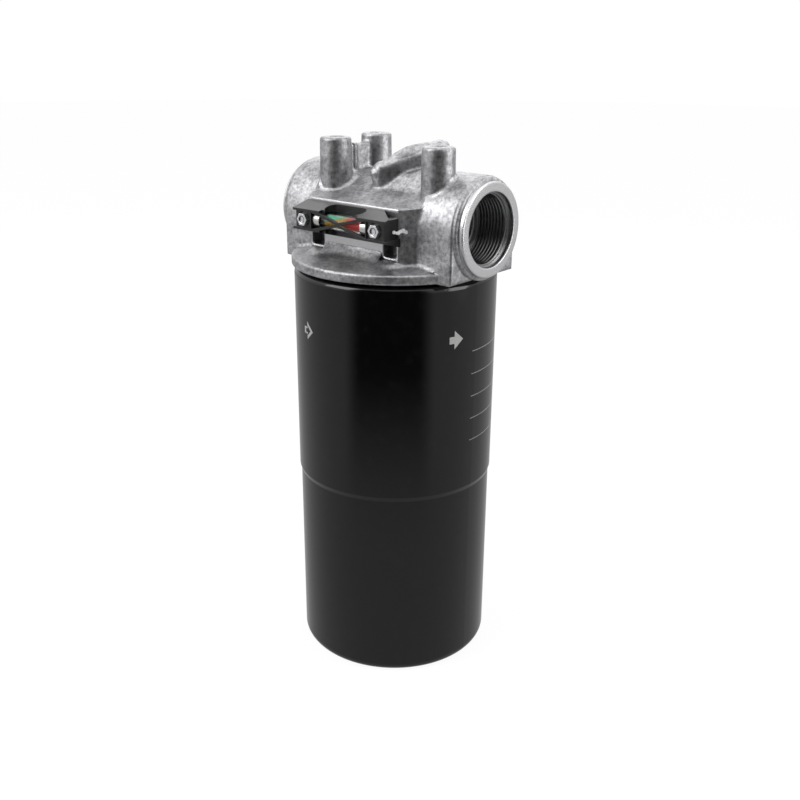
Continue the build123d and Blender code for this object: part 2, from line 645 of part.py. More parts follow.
def indicator_collar(side):
    """Bright sleeve round one end of the tube."""
    ends = sorted((side * COLLAR_X[0], side * COLLAR_X[1]))
    collar = rod_x(COLLAR_R, *ends, GLASS_AXIS_Y, IND_Z)
    collar -= rod_x(GLASS_R + 0.02, ends[0] - 1, ends[1] + 1, GLASS_AXIS_Y, IND_Z)
    return collar


def indicator_piston():
    """Hollow coloured piston, closed at its outlet end."""
    body = rod_x(PISTON_R, *PISTON_X, GLASS_AXIS_Y, IND_Z)
    body = chamfer(body.edges().filter_by(GeomType.CIRCLE), 0.3)
    return body - rod_x(PISTON_IN_R, PISTON_X[0] - 1, PISTON_X[1] - PISTON_END_T, GLASS_AXIS_Y, IND_Z)


def indicator_spring():
    """Long light coil from the inlet end of the tube into the piston."""
    x0 = -GLASS_SOCKET_X
    spring = coil(IND_SPRING_R, IND_WIRE_R, 0, PISTON_X[1] - PISTON_END_T - x0, 12)
    return Pos(x0, GLASS_AXIS_Y, IND_Z) * Rot(0, 90, 0) * spring


def tube_seals():
    """O-rings between the tube's ends and their sockets."""
    wire = (GLASS_SOCKET_X - GLASS_HALF_L) / 2
    centre = GLASS_HALF_L + wire
    seal = Rot(0, 90, 0) * Torus(GLASS_IN_R + wire, wire)
    return Compound([Pos(side * centre, GLASS_AXIS_Y, IND_Z) * seal for side in (-1, 1)])


def tap_seals():
    """O-rings round the two pressure taps."""
    seal = Rot(90, 0, 0) * Torus(TAP_R + SEAL_WIRE_R, SEAL_WIRE_R)
    return Compound([Pos(side * TAP_X, PAD_Y - SEAL_WIRE_R, TAP_Z) * seal for side in (-1, 1)])


def indicator_screws():
    """Two hexagon-head screws that hold the indicator on its pad."""
    seat_y = PAD_Y - IND_DEPTH + IND_BLOCK_SET_IN + SCREW_RECESS_L
    head = Plane(origin=(0, seat_y, 0), x_dir=(1, 0, 0), z_dir=(0, -1, 0)) * RegularPolygon(
        SCREW_HEAD_AF / 2, 6, False)
    screw = extrude(head, SCREW_HEAD_L)
    screw -= rod_y(SCREW_HEAD_AF * 0.26, seat_y - SCREW_HEAD_L - 1, seat_y - SCREW_HEAD_L + 0.6)
    screw += rod_y(SCREW_R, seat_y, PAD_Y + SCREW_DEPTH)
    return Compound([Pos(side * SCREW_X, 0, IND_Z) * screw for side in (-1, 1)])


# -------------------------------------------------------------------- writing
def pieces():
    """Every sub-part by its node name."""
    return {
        "filter_head": filter_head(),
        "nipple": nipple(),
        "bypass_seat": bypass_seat(),
        "bypass_poppet": bypass_poppet(),
        "bypass_cage": bypass_cage(),
        "bypass_spring": bypass_spring(),
        "can_shell": can_shell(),
        "seam_lid": seam_lid(),
        "base_plate": base_plate(),
        "can_gasket": can_gasket(),
        "element_seal": element_seal(),
        "top_end_cap": top_end_cap(),
        "pleated_media": pleated_media(),
        "centre_tube": centre_tube(),
        "bottom_end_cap": bottom_end_cap(),
        "element_spring": element_spring(),
        "indicator_housing": indicator_housing(),
        "indicator_glass": indicator_glass(),
        "indicator_collar_left": indicator_collar(-1),
        "indicator_collar_right": indicator_collar(1),
        "indicator_piston": indicator_piston(),
        "indicator_spring": indicator_spring(),
        "tube_seals": tube_seals(),
        "tap_seals": tap_seals(),
        "indicator_screws": indicator_screws(),
    }


def main():
    os.makedirs("parts", exist_ok=True)
    for node, shape in pieces().items():
        export_step(shape, f"parts/{node}.step")


if __name__ == "__main__":
    main()
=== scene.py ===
import json
import math

import bmesh
import bpy
from bpy.props import FloatProperty, FloatVectorProperty, IntProperty, PointerProperty
from mathutils import Matrix, Vector
from mathutils.bvhtree import BVHTree


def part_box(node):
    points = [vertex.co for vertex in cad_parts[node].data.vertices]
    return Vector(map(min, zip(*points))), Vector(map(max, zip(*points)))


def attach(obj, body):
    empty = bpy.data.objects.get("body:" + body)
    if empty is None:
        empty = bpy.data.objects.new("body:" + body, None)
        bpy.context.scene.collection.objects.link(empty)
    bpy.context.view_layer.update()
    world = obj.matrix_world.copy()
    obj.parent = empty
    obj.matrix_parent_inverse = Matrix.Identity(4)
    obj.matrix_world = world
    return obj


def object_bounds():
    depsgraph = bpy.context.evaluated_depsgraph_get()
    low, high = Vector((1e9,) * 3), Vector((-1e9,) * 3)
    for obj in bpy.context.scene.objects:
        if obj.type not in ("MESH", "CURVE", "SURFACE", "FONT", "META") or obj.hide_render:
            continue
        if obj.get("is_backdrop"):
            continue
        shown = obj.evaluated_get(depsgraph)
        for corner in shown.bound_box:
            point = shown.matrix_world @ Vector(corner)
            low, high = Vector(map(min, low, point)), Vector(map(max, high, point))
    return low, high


bl_info = {
    "name": "Return line filter",
    "version": (1, 0, 0),
    "blender": (4, 5, 0),
    "location": "View3D > Sidebar > Filter",
    "description": "Finishes, threads and print of a spin-on return line filter",
    "category": "Object",
}

# The frame gives the solids in metres: Z up, ports along X, indicator towards -Y.
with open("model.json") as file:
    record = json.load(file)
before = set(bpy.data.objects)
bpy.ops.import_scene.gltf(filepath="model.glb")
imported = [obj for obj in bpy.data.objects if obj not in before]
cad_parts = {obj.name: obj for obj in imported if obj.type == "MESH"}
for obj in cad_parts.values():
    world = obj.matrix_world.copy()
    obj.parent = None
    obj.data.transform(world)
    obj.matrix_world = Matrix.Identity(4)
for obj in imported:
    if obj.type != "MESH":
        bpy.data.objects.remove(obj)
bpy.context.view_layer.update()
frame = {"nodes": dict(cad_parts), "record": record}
NODES = frame["nodes"]
HEAD_LO, HEAD_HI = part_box("filter_head")
CAN_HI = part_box("can_shell")[1]
GLASS_LO, GLASS_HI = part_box("indicator_glass")
HOUSING_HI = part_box("indicator_housing")[1]
SCREW_LO, SCREW_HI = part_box("indicator_screws")
MOUNTS = {m["name"]: m for m in frame["record"]["mounts"]}
PORT = Vector(MOUNTS["outlet_port"]["pos_m"])
BOSSES = [Vector(MOUNTS["mount_hole_" + letter]["pos_m"]) for letter in "abc"]

# Screw heads, 7 mm across their flats, and the stud's thread.
SCREW_HEAD_R = 0.0070 / 2 / math.cos(math.pi / 6)
SCREW_FACE_DEPTH = 0.0006
STUD_R = 0.0190
STUD_PITCH = 0.0021

# Machined faces of the casting: depths in from a port's face, radii about the ports' axis,
# and the height over the underside from which the pad is milled.
RING_DEPTH = 0.0029
RING_R = 0.0285
COUNTERBORE_DEPTH = 0.0034
BORE_DEPTH = 0.0261
BORE_R = 0.0223
PAD_FOOT = 0.011
FLATNESS = 0.0001

# Arched rib on the deck: the line it follows, then balls along it as
# (distance from the start, height of the crest, radius).
RIB_START = Vector((-0.0040, -0.0090))
RIB_END = Vector((0.0170, 0.0170))
RIB_CREST = ((-0.0030, 0.3255, 0.0048), (0.0015, 0.3289, 0.0050), (0.0066, 0.3308, 0.0053),
             (0.0110, 0.3341, 0.0058), (0.0180, 0.3376, 0.0066), (0.0260, 0.3391, 0.0074),
             (0.0335, 0.3398, 0.0078), (0.0385, 0.3372, 0.0066))

# Swell over the outlet passage: its grid as (low, high, step), its half-round roof, which is
# narrower before SADDLE_FULL_X, and the ramp that cuts the roof off towards the pad.
SADDLE_X = (-0.008, 0.046, 0.002)
SADDLE_Y = (-0.018, 0.030, 0.002)
SADDLE_BASE_Z = 0.3000
SADDLE_LOW_Z = 0.3010
SADDLE_R = 0.0308
SADDLE_NARROWING = 0.0063
SADDLE_FULL_X = 0.022
SADDLE_RAMP_Y, SADDLE_RAMP_Z = -0.0130, 0.3125
SADDLE_RAMP_SLOPE = 1.05

# Hollow foot between the pad and the flange: its grid, the curve that falls away from the
# pad, and the slopes to either side of it.
TOE_X = (-0.036, 0.036, 0.0015)
TOE_Y = (-0.0525, -0.0380, 0.0010)
TOE_BASE_Z = 0.2680
TOE_LOW_Z = 0.2690
TOE_CURVE_Z = 0.2722
TOE_RISE = 0.0090
TOE_REACH = 0.0125
TOE_POWER = 1.9
TOE_HALF_X = 0.0355
TOE_NARROWING = 0.52
TOE_SIDE_SLOPE = 1.5
TOE_PAD_HALF_X = 0.0236
TOE_SIDE_TOP_Z = 0.2762

# Blends of the casting: how far their skin is drawn in, the height from which it shows,
# the depth from which it is left out, the fewest faces of a patch, and the radius that
# stays free in the top of a boss.
BLEND_SINK = 0.00008
BLEND_SHOWS = 0.00002
BLEND_BURIED = 0.00030
BLEND_PATCH = 40
BOSS_HOLE_R = 0.0062

# Sealing paint: balls as (x, y, z, radius), and the mesh that is drawn over them.
PAINT_BALLS = ((0.0372, -0.0452, 0.2948, 0.0011), (0.0372, -0.0432, 0.2942, 0.0009),
               (0.0370, -0.0412, 0.2939, 0.0012), (0.0368, -0.0393, 0.2944, 0.0012),
               (0.0376, -0.0375, 0.2947, 0.0014), (0.0384, -0.0360, 0.2938, 0.0012))
PAINT_CELL = 0.0002
PAINT_ROUNDS = 6

# Print on the can: angle from the front towards +X, height over the base.
SOLID_ARROW_AT = (75.0, 0.2295)
OPEN_ARROW_AT = (-15.6, 0.2296)
ARROW_SIZE = 0.0100
ARROW_HOLLOW = 0.55
ARROW_HOLLOW_BACK = 0.0003
LINES_FROM_DEG = 87.4
LINES_TOP_Z = 0.2197
LINE_PITCH = 0.01475
LINE_WIDTH = 0.00055
LINE_LENGTH = 0.062
LINE_COUNT = 5
LINE_STRENGTH = 0.55

# Colours of the piston: the X over which each changes, and the lean of the green's end.
DARK_TO_GREEN = (-0.0136, -0.0118)
GREEN_TO_AMBER = (-0.0143, -0.0135)
AMBER_TO_RED = (0.0020, 0.0062)
GREEN_LEAN = -0.0140

# Studio: name, degrees round the part from the front, height, distance, size and power.
LIGHTS = (
    ("key_light", -28.0, 1.05, 1.3, (0.9, 0.9), 11.0),
    ("side_light", 115.0, 0.5, 1.2, (0.5, 1.2), 7.0),
    ("back_light", 215.0, 0.9, 1.3, (1.0, 0.6), 3.0),
)
LIGHTS_AIM = Vector((0, 0, 0.2))
FLOOR_R = 6.0
FLOOR_GAP = 0.0002


# ------------------------------------------------------------------ materials
def empty_tree(owner, output_type):
    """Cleared node tree of a material or world, and its output node."""
    owner.use_nodes = True
    tree = owner.node_tree
    tree.nodes.clear()
    return tree, tree.nodes.new(output_type)


def new_material(name):
    """Material with one Principled shader, its node tree and that shader."""
    material = bpy.data.materials.new(name)
    tree, output = empty_tree(material, "ShaderNodeOutputMaterial")
    shader = tree.nodes.new("ShaderNodeBsdfPrincipled")
    tree.links.new(shader.outputs["BSDF"], output.inputs["Surface"])
    return material, tree, shader


def plug(tree, value, socket):
    """Links a socket, or sets a plain number or colour."""
    if isinstance(value, bpy.types.NodeSocket):
        tree.links.new(value, socket)
    elif isinstance(value, (int, float)) or socket.type != "RGBA":
        socket.default_value = value
    else:
        socket.default_value = (*value[:3], 1.0)


def math_node(tree, operation, a, b=0.0, c=0.0, clamp=False):
    node = tree.nodes.new("ShaderNodeMath")
    node.operation = operation
    node.use_clamp = clamp
    for value, socket in zip((a, b, c), node.inputs):
        plug(tree, value, socket)
    return node.outputs[0]


def times(tree, a, b):
    return math_node(tree, "MULTIPLY", a, b)


def from_origin(tree, a, b):
    """Distance of the point (a, b) from the origin."""
    return math_node(tree, "SQRT", math_node(tree, "ADD", times(tree, a, a), times(tree, b, b)))


def fade(tree, value, low, high, out_low=0.0, out_high=1.0):
    """Smooth change from out_low to out_high as value goes from low to high."""
    node = tree.nodes.new("ShaderNodeMapRange")
    node.interpolation_type = "SMOOTHSTEP"
    for index, item in enumerate((value, low, high, out_low, out_high)):
        plug(tree, item, node.inputs[index])
    return node.outputs[0]


def mix_colour(tree, share, first, second):
    node = tree.nodes.new("ShaderNodeMix")
    node.data_type = "RGBA"
    for value, index in ((share, 0), (first, 6), (second, 7)):
        plug(tree, value, node.inputs[index])
    return node.outputs[2]


def mix_number(tree, share, first, second):
    node = tree.nodes.new("ShaderNodeMix")
    node.data_type = "FLOAT"
    for value, index in ((share, 0), (first, 2), (second, 3)):
        plug(tree, value, node.inputs[index])
    return node.outputs[0]


def mix_shader(tree, share, first, second):
    node = tree.nodes.new("ShaderNodeMixShader")
    for value, socket in zip((share, first, second), node.inputs):
        plug(tree, value, socket)
    return node.outputs[0]


def object_point(tree, scale=(1, 1, 1), rotation=(0, 0, 0), location=(0, 0, 0)):
    """Object coordinates in metres, centred, turned or stretched by a Mapping node."""
    place = tree.nodes.new("ShaderNodeTexCoord")
    mapping = tree.nodes.new("ShaderNodeMapping")
    mapping.inputs["Scale"].default_value = scale
    mapping.inputs["Rotation"].default_value = rotation
    mapping.inputs["Location"].default_value = location
    tree.links.new(place.outputs["Object"], mapping.inputs["Vector"])
    return mapping.outputs[0]


def axes(tree, point):
    node = tree.nodes.new("ShaderNodeSeparateXYZ")
    tree.links.new(point, node.inputs[0])
    return node.outputs[0], node.outputs[1], node.outputs[2]


def noise(tree, point, scale, detail=4.0, roughness=0.5, distortion=0.0):
    node = tree.nodes.new("ShaderNodeTexNoise")
    tree.links.new(point, node.inputs["Vector"])
    node.inputs["Scale"].default_value = scale
    node.inputs["Detail"].default_value = detail
    node.inputs["Roughness"].default_value = roughness
    node.inputs["Distortion"].default_value = distortion
    return node.outputs["Fac"]


def bump(tree, height, distance, strength=1.0, normal=None):
    node = tree.nodes.new("ShaderNodeBump")
    node.inputs["Strength"].default_value = strength
    node.inputs["Distance"].default_value = distance
    plug(tree, height, node.inputs["Height"])
    if normal is not None:
        tree.links.new(normal, node.inputs["Normal"])
    return node.outputs[0]


def rounded_normal(tree, radius):
    node = tree.nodes.new("ShaderNodeBevel")
    node.samples = 6
    node.inputs["Radius"].default_value = radius
    return node.outputs[0]


def edge_share(tree, soft_normal, amount, open_air=None):
    """How far the rounded normal turns from the flat one: 1 on an outer edge."""
    geometry = tree.nodes.new("ShaderNodeNewGeometry")
    dot = tree.nodes.new("ShaderNodeVectorMath")
    dot.operation = "DOT_PRODUCT"
    tree.links.new(soft_normal, dot.inputs[0])
    tree.links.new(geometry.outputs["Normal"], dot.inputs[1])
    turned = fade(tree, dot.outputs["Value"], 1.0, 1.0 - amount)
    if open_air is None:
        return turned
    return times(tree, turned, fade(tree, open_air, 0.7, 0.92))


def openness(tree, distance, samples=8):
    """0 in a tight corner, 1 on open surface."""
    node = tree.nodes.new("ShaderNodeAmbientOcclusion")
    node.samples = samples
    node.only_local = True
    node.inputs["Distance"].default_value = distance
    return node.outputs["AO"]


def cast_metal(name, look):
    """Sand-textured cast aluminium, turned bright on its machined faces."""
    material, tree, shader = new_material(name)
    point = object_point(tree)
    x, y, z = axes(tree, point)
    open_air = openness(tree, 0.007)
    soft = rounded_normal(tree, look.edge_radius)
    # The edge mask lightens outer edges, partly as wear and partly as a painted highlight.
    edge = edge_share(tree, soft, 0.25, open_air)
    # Painted shade: hollow is 1 in tight corners and recesses, where the skin is darkened.
    hollow = fade(tree, open_air, 0.15, 0.9, 1.0, 0.0)

    cloud = noise(tree, point, 120.0, 6.0, 0.68)
    fleck = noise(tree, point, 520.0, 5.0, 0.75)
    leaning = object_point(tree, scale=(1.0, 1.0, 2.2), rotation=(0.3, 0.5, 0.0))
    flow = noise(tree, leaning, 38.0, 4.0, 0.6, 1.4)
    grains = tree.nodes.new("ShaderNodeTexVoronoi")
    grains.feature = "SMOOTH_F1"
    tree.links.new(point, grains.inputs["Vector"])
    grains.inputs["Scale"].default_value = 430.0
    grains.inputs["Randomness"].default_value = 1.0
    speck = fade(tree, grains.outputs["Distance"], 0.25, 0.75)
    tone = math_node(tree, "MULTIPLY_ADD", fade(tree, cloud, 0.34, 0.66), 0.45,
                     times(tree, fade(tree, flow, 0.3, 0.7), 0.55))
    skin = mix_colour(tree, tone, look.dark, look.light)
    # Pits and grains are the skin's own texture; hollow paints shade in corners, and edge adds wear with a
    # painted highlight.
    for share, amount, tint in ((fade(tree, fleck, 0.62, 0.38), 0.5, look.pit_and_shade), (speck, 0.22, look.wear_and_highlight),
                                (hollow, 0.4, look.pit_and_shade), (edge, 0.6, look.wear_and_highlight)):
        skin = mix_colour(tree, times(tree, share, amount), skin, tint)

    # Machined: port rings and bores, the pad and the underside land.
    off_axis = from_origin(tree, y, math_node(tree, "SUBTRACT", z, PORT.z))
    reach = math_node(tree, "ABSOLUTE", x)

    def in_port(depth, radius):
        near_face = math_node(tree, "GREATER_THAN", reach, HEAD_HI.x - depth)
        return times(tree, near_face, math_node(tree, "LESS_THAN", off_axis, radius))

    turned = math_node(tree, "MAXIMUM", in_port(RING_DEPTH, RING_R), in_port(BORE_DEPTH, BORE_R))
    off_pad = math_node(tree, "ABSOLUTE", math_node(tree, "SUBTRACT", y, HOUSING_HI.y))
    on_pad = times(tree, math_node(tree, "LESS_THAN", off_pad, FLATNESS),
                   math_node(tree, "GREATER_THAN", z, HEAD_LO.z + PAD_FOOT))
    below = math_node(tree, "LESS_THAN", z, HEAD_LO.z + FLATNESS)
    machined = math_node(tree, "MAXIMUM", turned, math_node(tree, "MAXIMUM", on_pad, below))

    rings = tree.nodes.new("ShaderNodeTexWave")
    rings.wave_type = "RINGS"
    rings.rings_direction = "X"
    tree.links.new(object_point(tree, location=(0, 0, -PORT.z)), rings.inputs["Vector"])
    rings.inputs["Scale"].default_value = 700.0
    rings.inputs["Distortion"].default_value = 1.5
    rings.inputs["Detail"].default_value = 2.0
    groove = times(tree, rings.outputs["Fac"], turned)
    cut = mix_colour(tree, groove, look.machined, look.machined_light)
    # Painted shade: the counterbore wall and the hollows on machined faces are darkened towards the colour of
    # the pits.
    shade = math_node(tree, "MAXIMUM", times(tree, in_port(COUNTERBORE_DEPTH, BORE_R), 0.7),
                      times(tree, hollow, 0.5))
    cut = mix_colour(tree, shade, cut, look.pit_and_shade)
    plug(tree, mix_colour(tree, machined, skin, cut), shader.inputs["Base Color"])
    shader.inputs["Metallic"].default_value = look.metallic
    rough = math_node(tree, "MULTIPLY_ADD", cloud, 0.3, look.roughness - 0.15)
    plug(tree, mix_number(tree, machined, rough, 0.27), shader.inputs["Roughness"])
    relief = math_node(tree, "MULTIPLY_ADD", fleck, 0.25, times(tree, speck, 0.2))
    relief = math_node(tree, "MULTIPLY_ADD", cloud, 0.55, relief)
    cast_height = times(tree, relief, math_node(tree, "SUBTRACT", 1.0, machined))
    rough_cast = bump(tree, cast_height, look.grain, 1.0, soft)
    plug(tree, bump(tree, groove, 0.000012, 0.5, rough_cast), shader.inputs["Normal"])
    return material


def drawn_shape(tree, u, v, sides):
    """1 inside a convex outline given as half planes (nu, nv, limit), in metres."""
    inside = None
    for nu, nv, limit in sides:
        along = math_node(tree, "MULTIPLY_ADD", u, nu, times(tree, v, nv))
        mask = math_node(tree, "LESS_THAN", along, limit)
        inside = mask if inside is None else times(tree, inside, mask)
    return inside


def arrow_shape(tree, u, v, size):
    """Block arrow that points along +u, one size long and about the origin."""
    head = drawn_shape(tree, u, v, ((-1.0, 0.0, 0.12 * size), (0.9, 1.0, 0.47 * size),
                                    (0.9, -1.0, 0.47 * size)))
    tail = drawn_shape(tree, u, v, ((1.0, 0.0, 0.0), (-1.0, 0.0, 0.48 * size),
                                    (0.0, 1.0, 0.22 * size), (0.0, -1.0, 0.22 * size)))
    return math_node(tree, "MAXIMUM", head, tail)


def printed_marks(tree, point, radius):
    """Flow arrows and the lines of the service table, printed round the can."""
    x, y, z = axes(tree, point)
    front = times(tree, y, -1.0)
    along = times(tree, math_node(tree, "ARCTAN2", x, front), radius)

    def placed(angle_deg, height):
        u = math_node(tree, "SUBTRACT", along, math.radians(angle_deg) * radius)
        return u, math_node(tree, "SUBTRACT", z, height)

    solid = arrow_shape(tree, *placed(*SOLID_ARROW_AT), ARROW_SIZE)
    u, v = placed(*OPEN_ARROW_AT)
    inner_u = math_node(tree, "ADD", u, ARROW_HOLLOW_BACK)
    inner = arrow_shape(tree, inner_u, v, ARROW_SIZE * ARROW_HOLLOW)
    hollow = math_node(tree, "SUBTRACT", arrow_shape(tree, u, v, ARROW_SIZE), inner, clamp=True)
    marks = math_node(tree, "MAXIMUM", solid, hollow)
    u, v = placed(LINES_FROM_DEG, LINES_TOP_Z)
    row = math_node(tree, "WRAP", v, LINE_PITCH / 2, -LINE_PITCH / 2)
    line = math_node(tree, "LESS_THAN", math_node(tree, "ABSOLUTE", row), LINE_WIDTH / 2)
    table = drawn_shape(tree, u, v, ((-1.0, 0.0, 0.0), (1.0, 0.0, LINE_LENGTH), (0.0, 1.0, LINE_PITCH / 2),
                                     (0.0, -1.0, (LINE_COUNT - 0.5) * LINE_PITCH)))
    lines = times(tree, line, times(tree, table, LINE_STRENGTH))
    return math_node(tree, "MAXIMUM", marks, lines)


def plain_metal(name, colour, roughness, grain=400.0, mottling=0.25, height=0.00002,
                stretch=(1, 1, 1)):
    """Metal with a fine grain in its colour, roughness and surface."""
    material, tree, shader = new_material(name)
    point = object_point(tree, scale=stretch)
    grit = noise(tree, point, grain, 4.0, 0.6)
    darker = tuple(c * (1.0 - mottling) for c in colour)
    plug(tree, mix_colour(tree, fade(tree, grit, 0.3, 0.7), darker, colour), shader.inputs["Base Color"])
    shader.inputs["Metallic"].default_value = 1.0
    plug(tree, math_node(tree, "MULTIPLY_ADD", grit, 0.2, roughness - 0.1), shader.inputs["Roughness"])
    plug(tree, bump(tree, grit, height, 0.7, rounded_normal(tree, 0.0004)), shader.inputs["Normal"])
    return material


def moulded(name, colour, roughness, grain=900.0, height=0.00002, edge_radius=0.0003, wear_and_highlight=0.0):
    """Moulded plastic or rubber with a faint skin texture."""
    material, tree, shader = new_material(name)
    point = object_point(tree)
    grit = noise(tree, point, grain, 3.0, 0.6)
    patch = noise(tree, point, 60.0, 3.0, 0.6)
    soft = rounded_normal(tree, edge_radius)
    lighter = tuple(min(1.0, c * 1.6 + 0.004) for c in colour)
    body = mix_colour(tree, fade(tree, patch, 0.35, 0.7), colour, lighter)
    # Edges made paler: partly wear, partly a painted highlight.
    if wear_and_highlight:
        pale = tuple(min(1.0, c + wear_and_highlight) for c in colour)
        body = mix_colour(tree, times(tree, edge_share(tree, soft, 0.3), 0.6), body, pale)
    plug(tree, body, shader.inputs["Base Color"])
    plug(tree, math_node(tree, "MULTIPLY_ADD", grit, 0.18, roughness - 0.09), shader.inputs["Roughness"])
    plug(tree, bump(tree, grit, height, 0.8, soft), shader.inputs["Normal"])
    return material


def thread_metal(sizes):
    """Cut thread: crests painted bright as a highlight, roots painted dark as shade."""
    material, tree, shader = new_material("Cut thread")
    point = object_point(tree)
    _, y, z = axes(tree, point)
    off_axis = from_origin(tree, y, math_node(tree, "SUBTRACT", z, PORT.z))
    crest_radius = sizes.port_radius - sizes.port_height
    # Painted highlight and shade: the colour runs from dark at the roots to bright at the crests.
    crest = fade(tree, off_axis, sizes.port_radius - 0.0005, crest_radius + 0.0003)
    grit = noise(tree, point, 900.0, 4.0, 0.6)
    bright = mix_colour(tree, grit, (0.62, 0.62, 0.62), (0.88, 0.88, 0.88))
    plug(tree, mix_colour(tree, crest, (0.20, 0.20, 0.20), bright), shader.inputs["Base Color"])
    shader.inputs["Metallic"].default_value = 1.0
    plug(tree, math_node(tree, "MULTIPLY_ADD", grit, 0.12, 0.24), shader.inputs["Roughness"])
    return material


def stud_metal():
    """Turned steel stud with a helical thread above and below its collar, its roots darkened by painted
    shade.
    """
    material, tree, shader = new_material("Threaded stud")
    point = object_point(tree)
    x, y, z = axes(tree, point)
    turns = math_node(tree, "MULTIPLY_ADD", math_node(tree, "ARCTAN2", y, x), 0.5 / math.pi,
                      math_node(tree, "DIVIDE", z, STUD_PITCH))
    ridge = math_node(tree, "PINGPONG", turns, 0.5)
    shank = math_node(tree, "COMPARE", from_origin(tree, x, y), STUD_R, 0.0003)
    depth = times(tree, times(tree, ridge, 2.0), shank)
    grit = noise(tree, point, 1200.0, 3.0, 0.6)
    steel = mix_colour(tree, grit, (0.34, 0.34, 0.33), (0.50, 0.50, 0.49))
    # Painted shade: the thread's roots are darkened towards black in colour.
    painted_root_shade = times(tree, fade(tree, depth, 0.5, 1.0), 0.75)
    plug(tree, mix_colour(tree, painted_root_shade, steel, (0.05, 0.05, 0.05)), shader.inputs["Base Color"])
    shader.inputs["Metallic"].default_value = 1.0
    plug(tree, math_node(tree, "MULTIPLY_ADD", grit, 0.15, 0.24), shader.inputs["Roughness"])
    plug(tree, bump(tree, times(tree, depth, -1.0), 0.0009, 1.0), shader.inputs["Normal"])
    return material


def screw_metal(middle, half_pitch):
    """Zinc-plated hexagon heads with a pressed dimple, painted dark round its edge as shade, one to either
    side of the middle.
    """
    material, tree, shader = new_material("Zinc screws")
    point = object_point(tree)
    x, y, z = axes(tree, point)
    aside = math_node(tree, "ABSOLUTE", math_node(tree, "SUBTRACT", x, middle.x))
    off_axis = from_origin(tree, math_node(tree, "SUBTRACT", aside, half_pitch),
                           math_node(tree, "SUBTRACT", z, middle.z))
    on_face = math_node(tree, "LESS_THAN", y, SCREW_LO.y + SCREW_FACE_DEPTH)
    dish = times(tree, fade(tree, off_axis, 0.0026, 0.0019), on_face)
    button = times(tree, fade(tree, off_axis, 0.0015, 0.0009), on_face)
    dimple_and_painted_shade = math_node(tree, "SUBTRACT", dish, button)
    grit = noise(tree, point, 1100.0, 3.0, 0.6)
    plate = mix_colour(tree, grit, (0.62, 0.63, 0.65), (0.85, 0.86, 0.88))
    # Painted shade: the dimple's band is darkened in colour; the same mask sets the bump's relief.
    plug(tree, mix_colour(tree, dimple_and_painted_shade, plate, (0.12, 0.12, 0.125)), shader.inputs["Base Color"])
    shader.inputs["Metallic"].default_value = 0.9
    plug(tree, math_node(tree, "MULTIPLY_ADD", grit, 0.15, 0.2), shader.inputs["Roughness"])
    height = math_node(tree, "MULTIPLY_ADD", dimple_and_painted_shade, -1.0, times(tree, grit, 0.08))
    plug(tree, bump(tree, height, 0.0004, 0.8, rounded_normal(tree, 0.0004)), shader.inputs["Normal"])
    return material


def can_paint(look):
    """Glossy stoved paint with dust and orange peel, and the marks printed on it."""
    material, tree, shader = new_material("Black can paint")
    point = object_point(tree)
    wave = noise(tree, object_point(tree, scale=(1, 1, 0.3)), 22.0, 2.0, 0.5)
    orange_peel = noise(tree, point, 420.0, 2.0, 0.5)
    dust = noise(tree, point, 150.0, 4.0, 0.6)
    grey = tuple(c * 2.2 for c in look.black)
    paint = mix_colour(tree, fade(tree, dust, 0.5, 0.75), look.black, grey)
    marks = printed_marks(tree, point, CAN_HI.x)
    plug(tree, mix_colour(tree, marks, paint, look.mark), shader.inputs["Base Color"])
    rough = math_node(tree, "MULTIPLY_ADD", dust, 0.06, look.roughness - 0.03)
    plug(tree, rough, shader.inputs["Roughness"])
    shader.inputs["IOR"].default_value = 1.45
    height = math_node(tree, "MULTIPLY_ADD", wave, 1.0, times(tree, orange_peel, 0.04))
    plug(tree, bump(tree, height, 0.00012, 0.5), shader.inputs["Normal"])
    return material


def clear_tube():
    """Clear plastic of the indicator's tube."""
    material, tree, shader = new_material("Clear tube")
    haze = noise(tree, object_point(tree), 300.0, 3.0, 0.5)
    plug(tree, math_node(tree, "MULTIPLY_ADD", haze, 0.06, 0.0), shader.inputs["Roughness"])
    shader.inputs["Base Color"].default_value = (0.96, 0.98, 0.97, 1.0)
    shader.inputs["Transmission Weight"].default_value = 1.0
    shader.inputs["IOR"].default_value = 1.15
    return material


def piston_colours(look):
    """Dark, green, amber and red bands along the piston, the green one with a winding end."""
    material, tree, shader = new_material("Piston colours")
    x, y, z = axes(tree, object_point(tree))
    middle = (GLASS_LO + GLASS_HI) / 2
    up = math_node(tree, "SUBTRACT", z, middle.z)
    out = math_node(tree, "SUBTRACT", middle.y, y)
    lean = math_node(tree, "ARCTAN2", up, out)
    grit = noise(tree, object_point(tree), 900.0, 3.0, 0.6)
    place = math_node(tree, "MULTIPLY_ADD", grit, 0.0006, x)
    wound = math_node(tree, "MULTIPLY_ADD", lean, GREEN_LEAN, place)
    colour = mix_colour(tree, fade(tree, wound, *GREEN_TO_AMBER), look.green, look.amber)
    colour = mix_colour(tree, fade(tree, place, *AMBER_TO_RED), colour, look.red)
    colour = mix_colour(tree, fade(tree, place, *DARK_TO_GREEN), look.dark_band, colour)
    plug(tree, colour, shader.inputs["Base Color"])
    plug(tree, math_node(tree, "MULTIPLY_ADD", grit, 0.1, 0.35), shader.inputs["Roughness"])
    return material


def coat(node, material):
    """Gives every slot of a CAD node one material."""
    obj = NODES[node]
    if not obj.material_slots:
        obj.data.materials.append(material)
    for place in obj.material_slots:
        place.material = material


# ---------------------------------------------------------------- mesh helpers
def new_object(name, data):
    """Object with that data, linked into the scene."""
    obj = bpy.data.objects.new(name, data)
    bpy.context.scene.collection.objects.link(obj)
    return obj


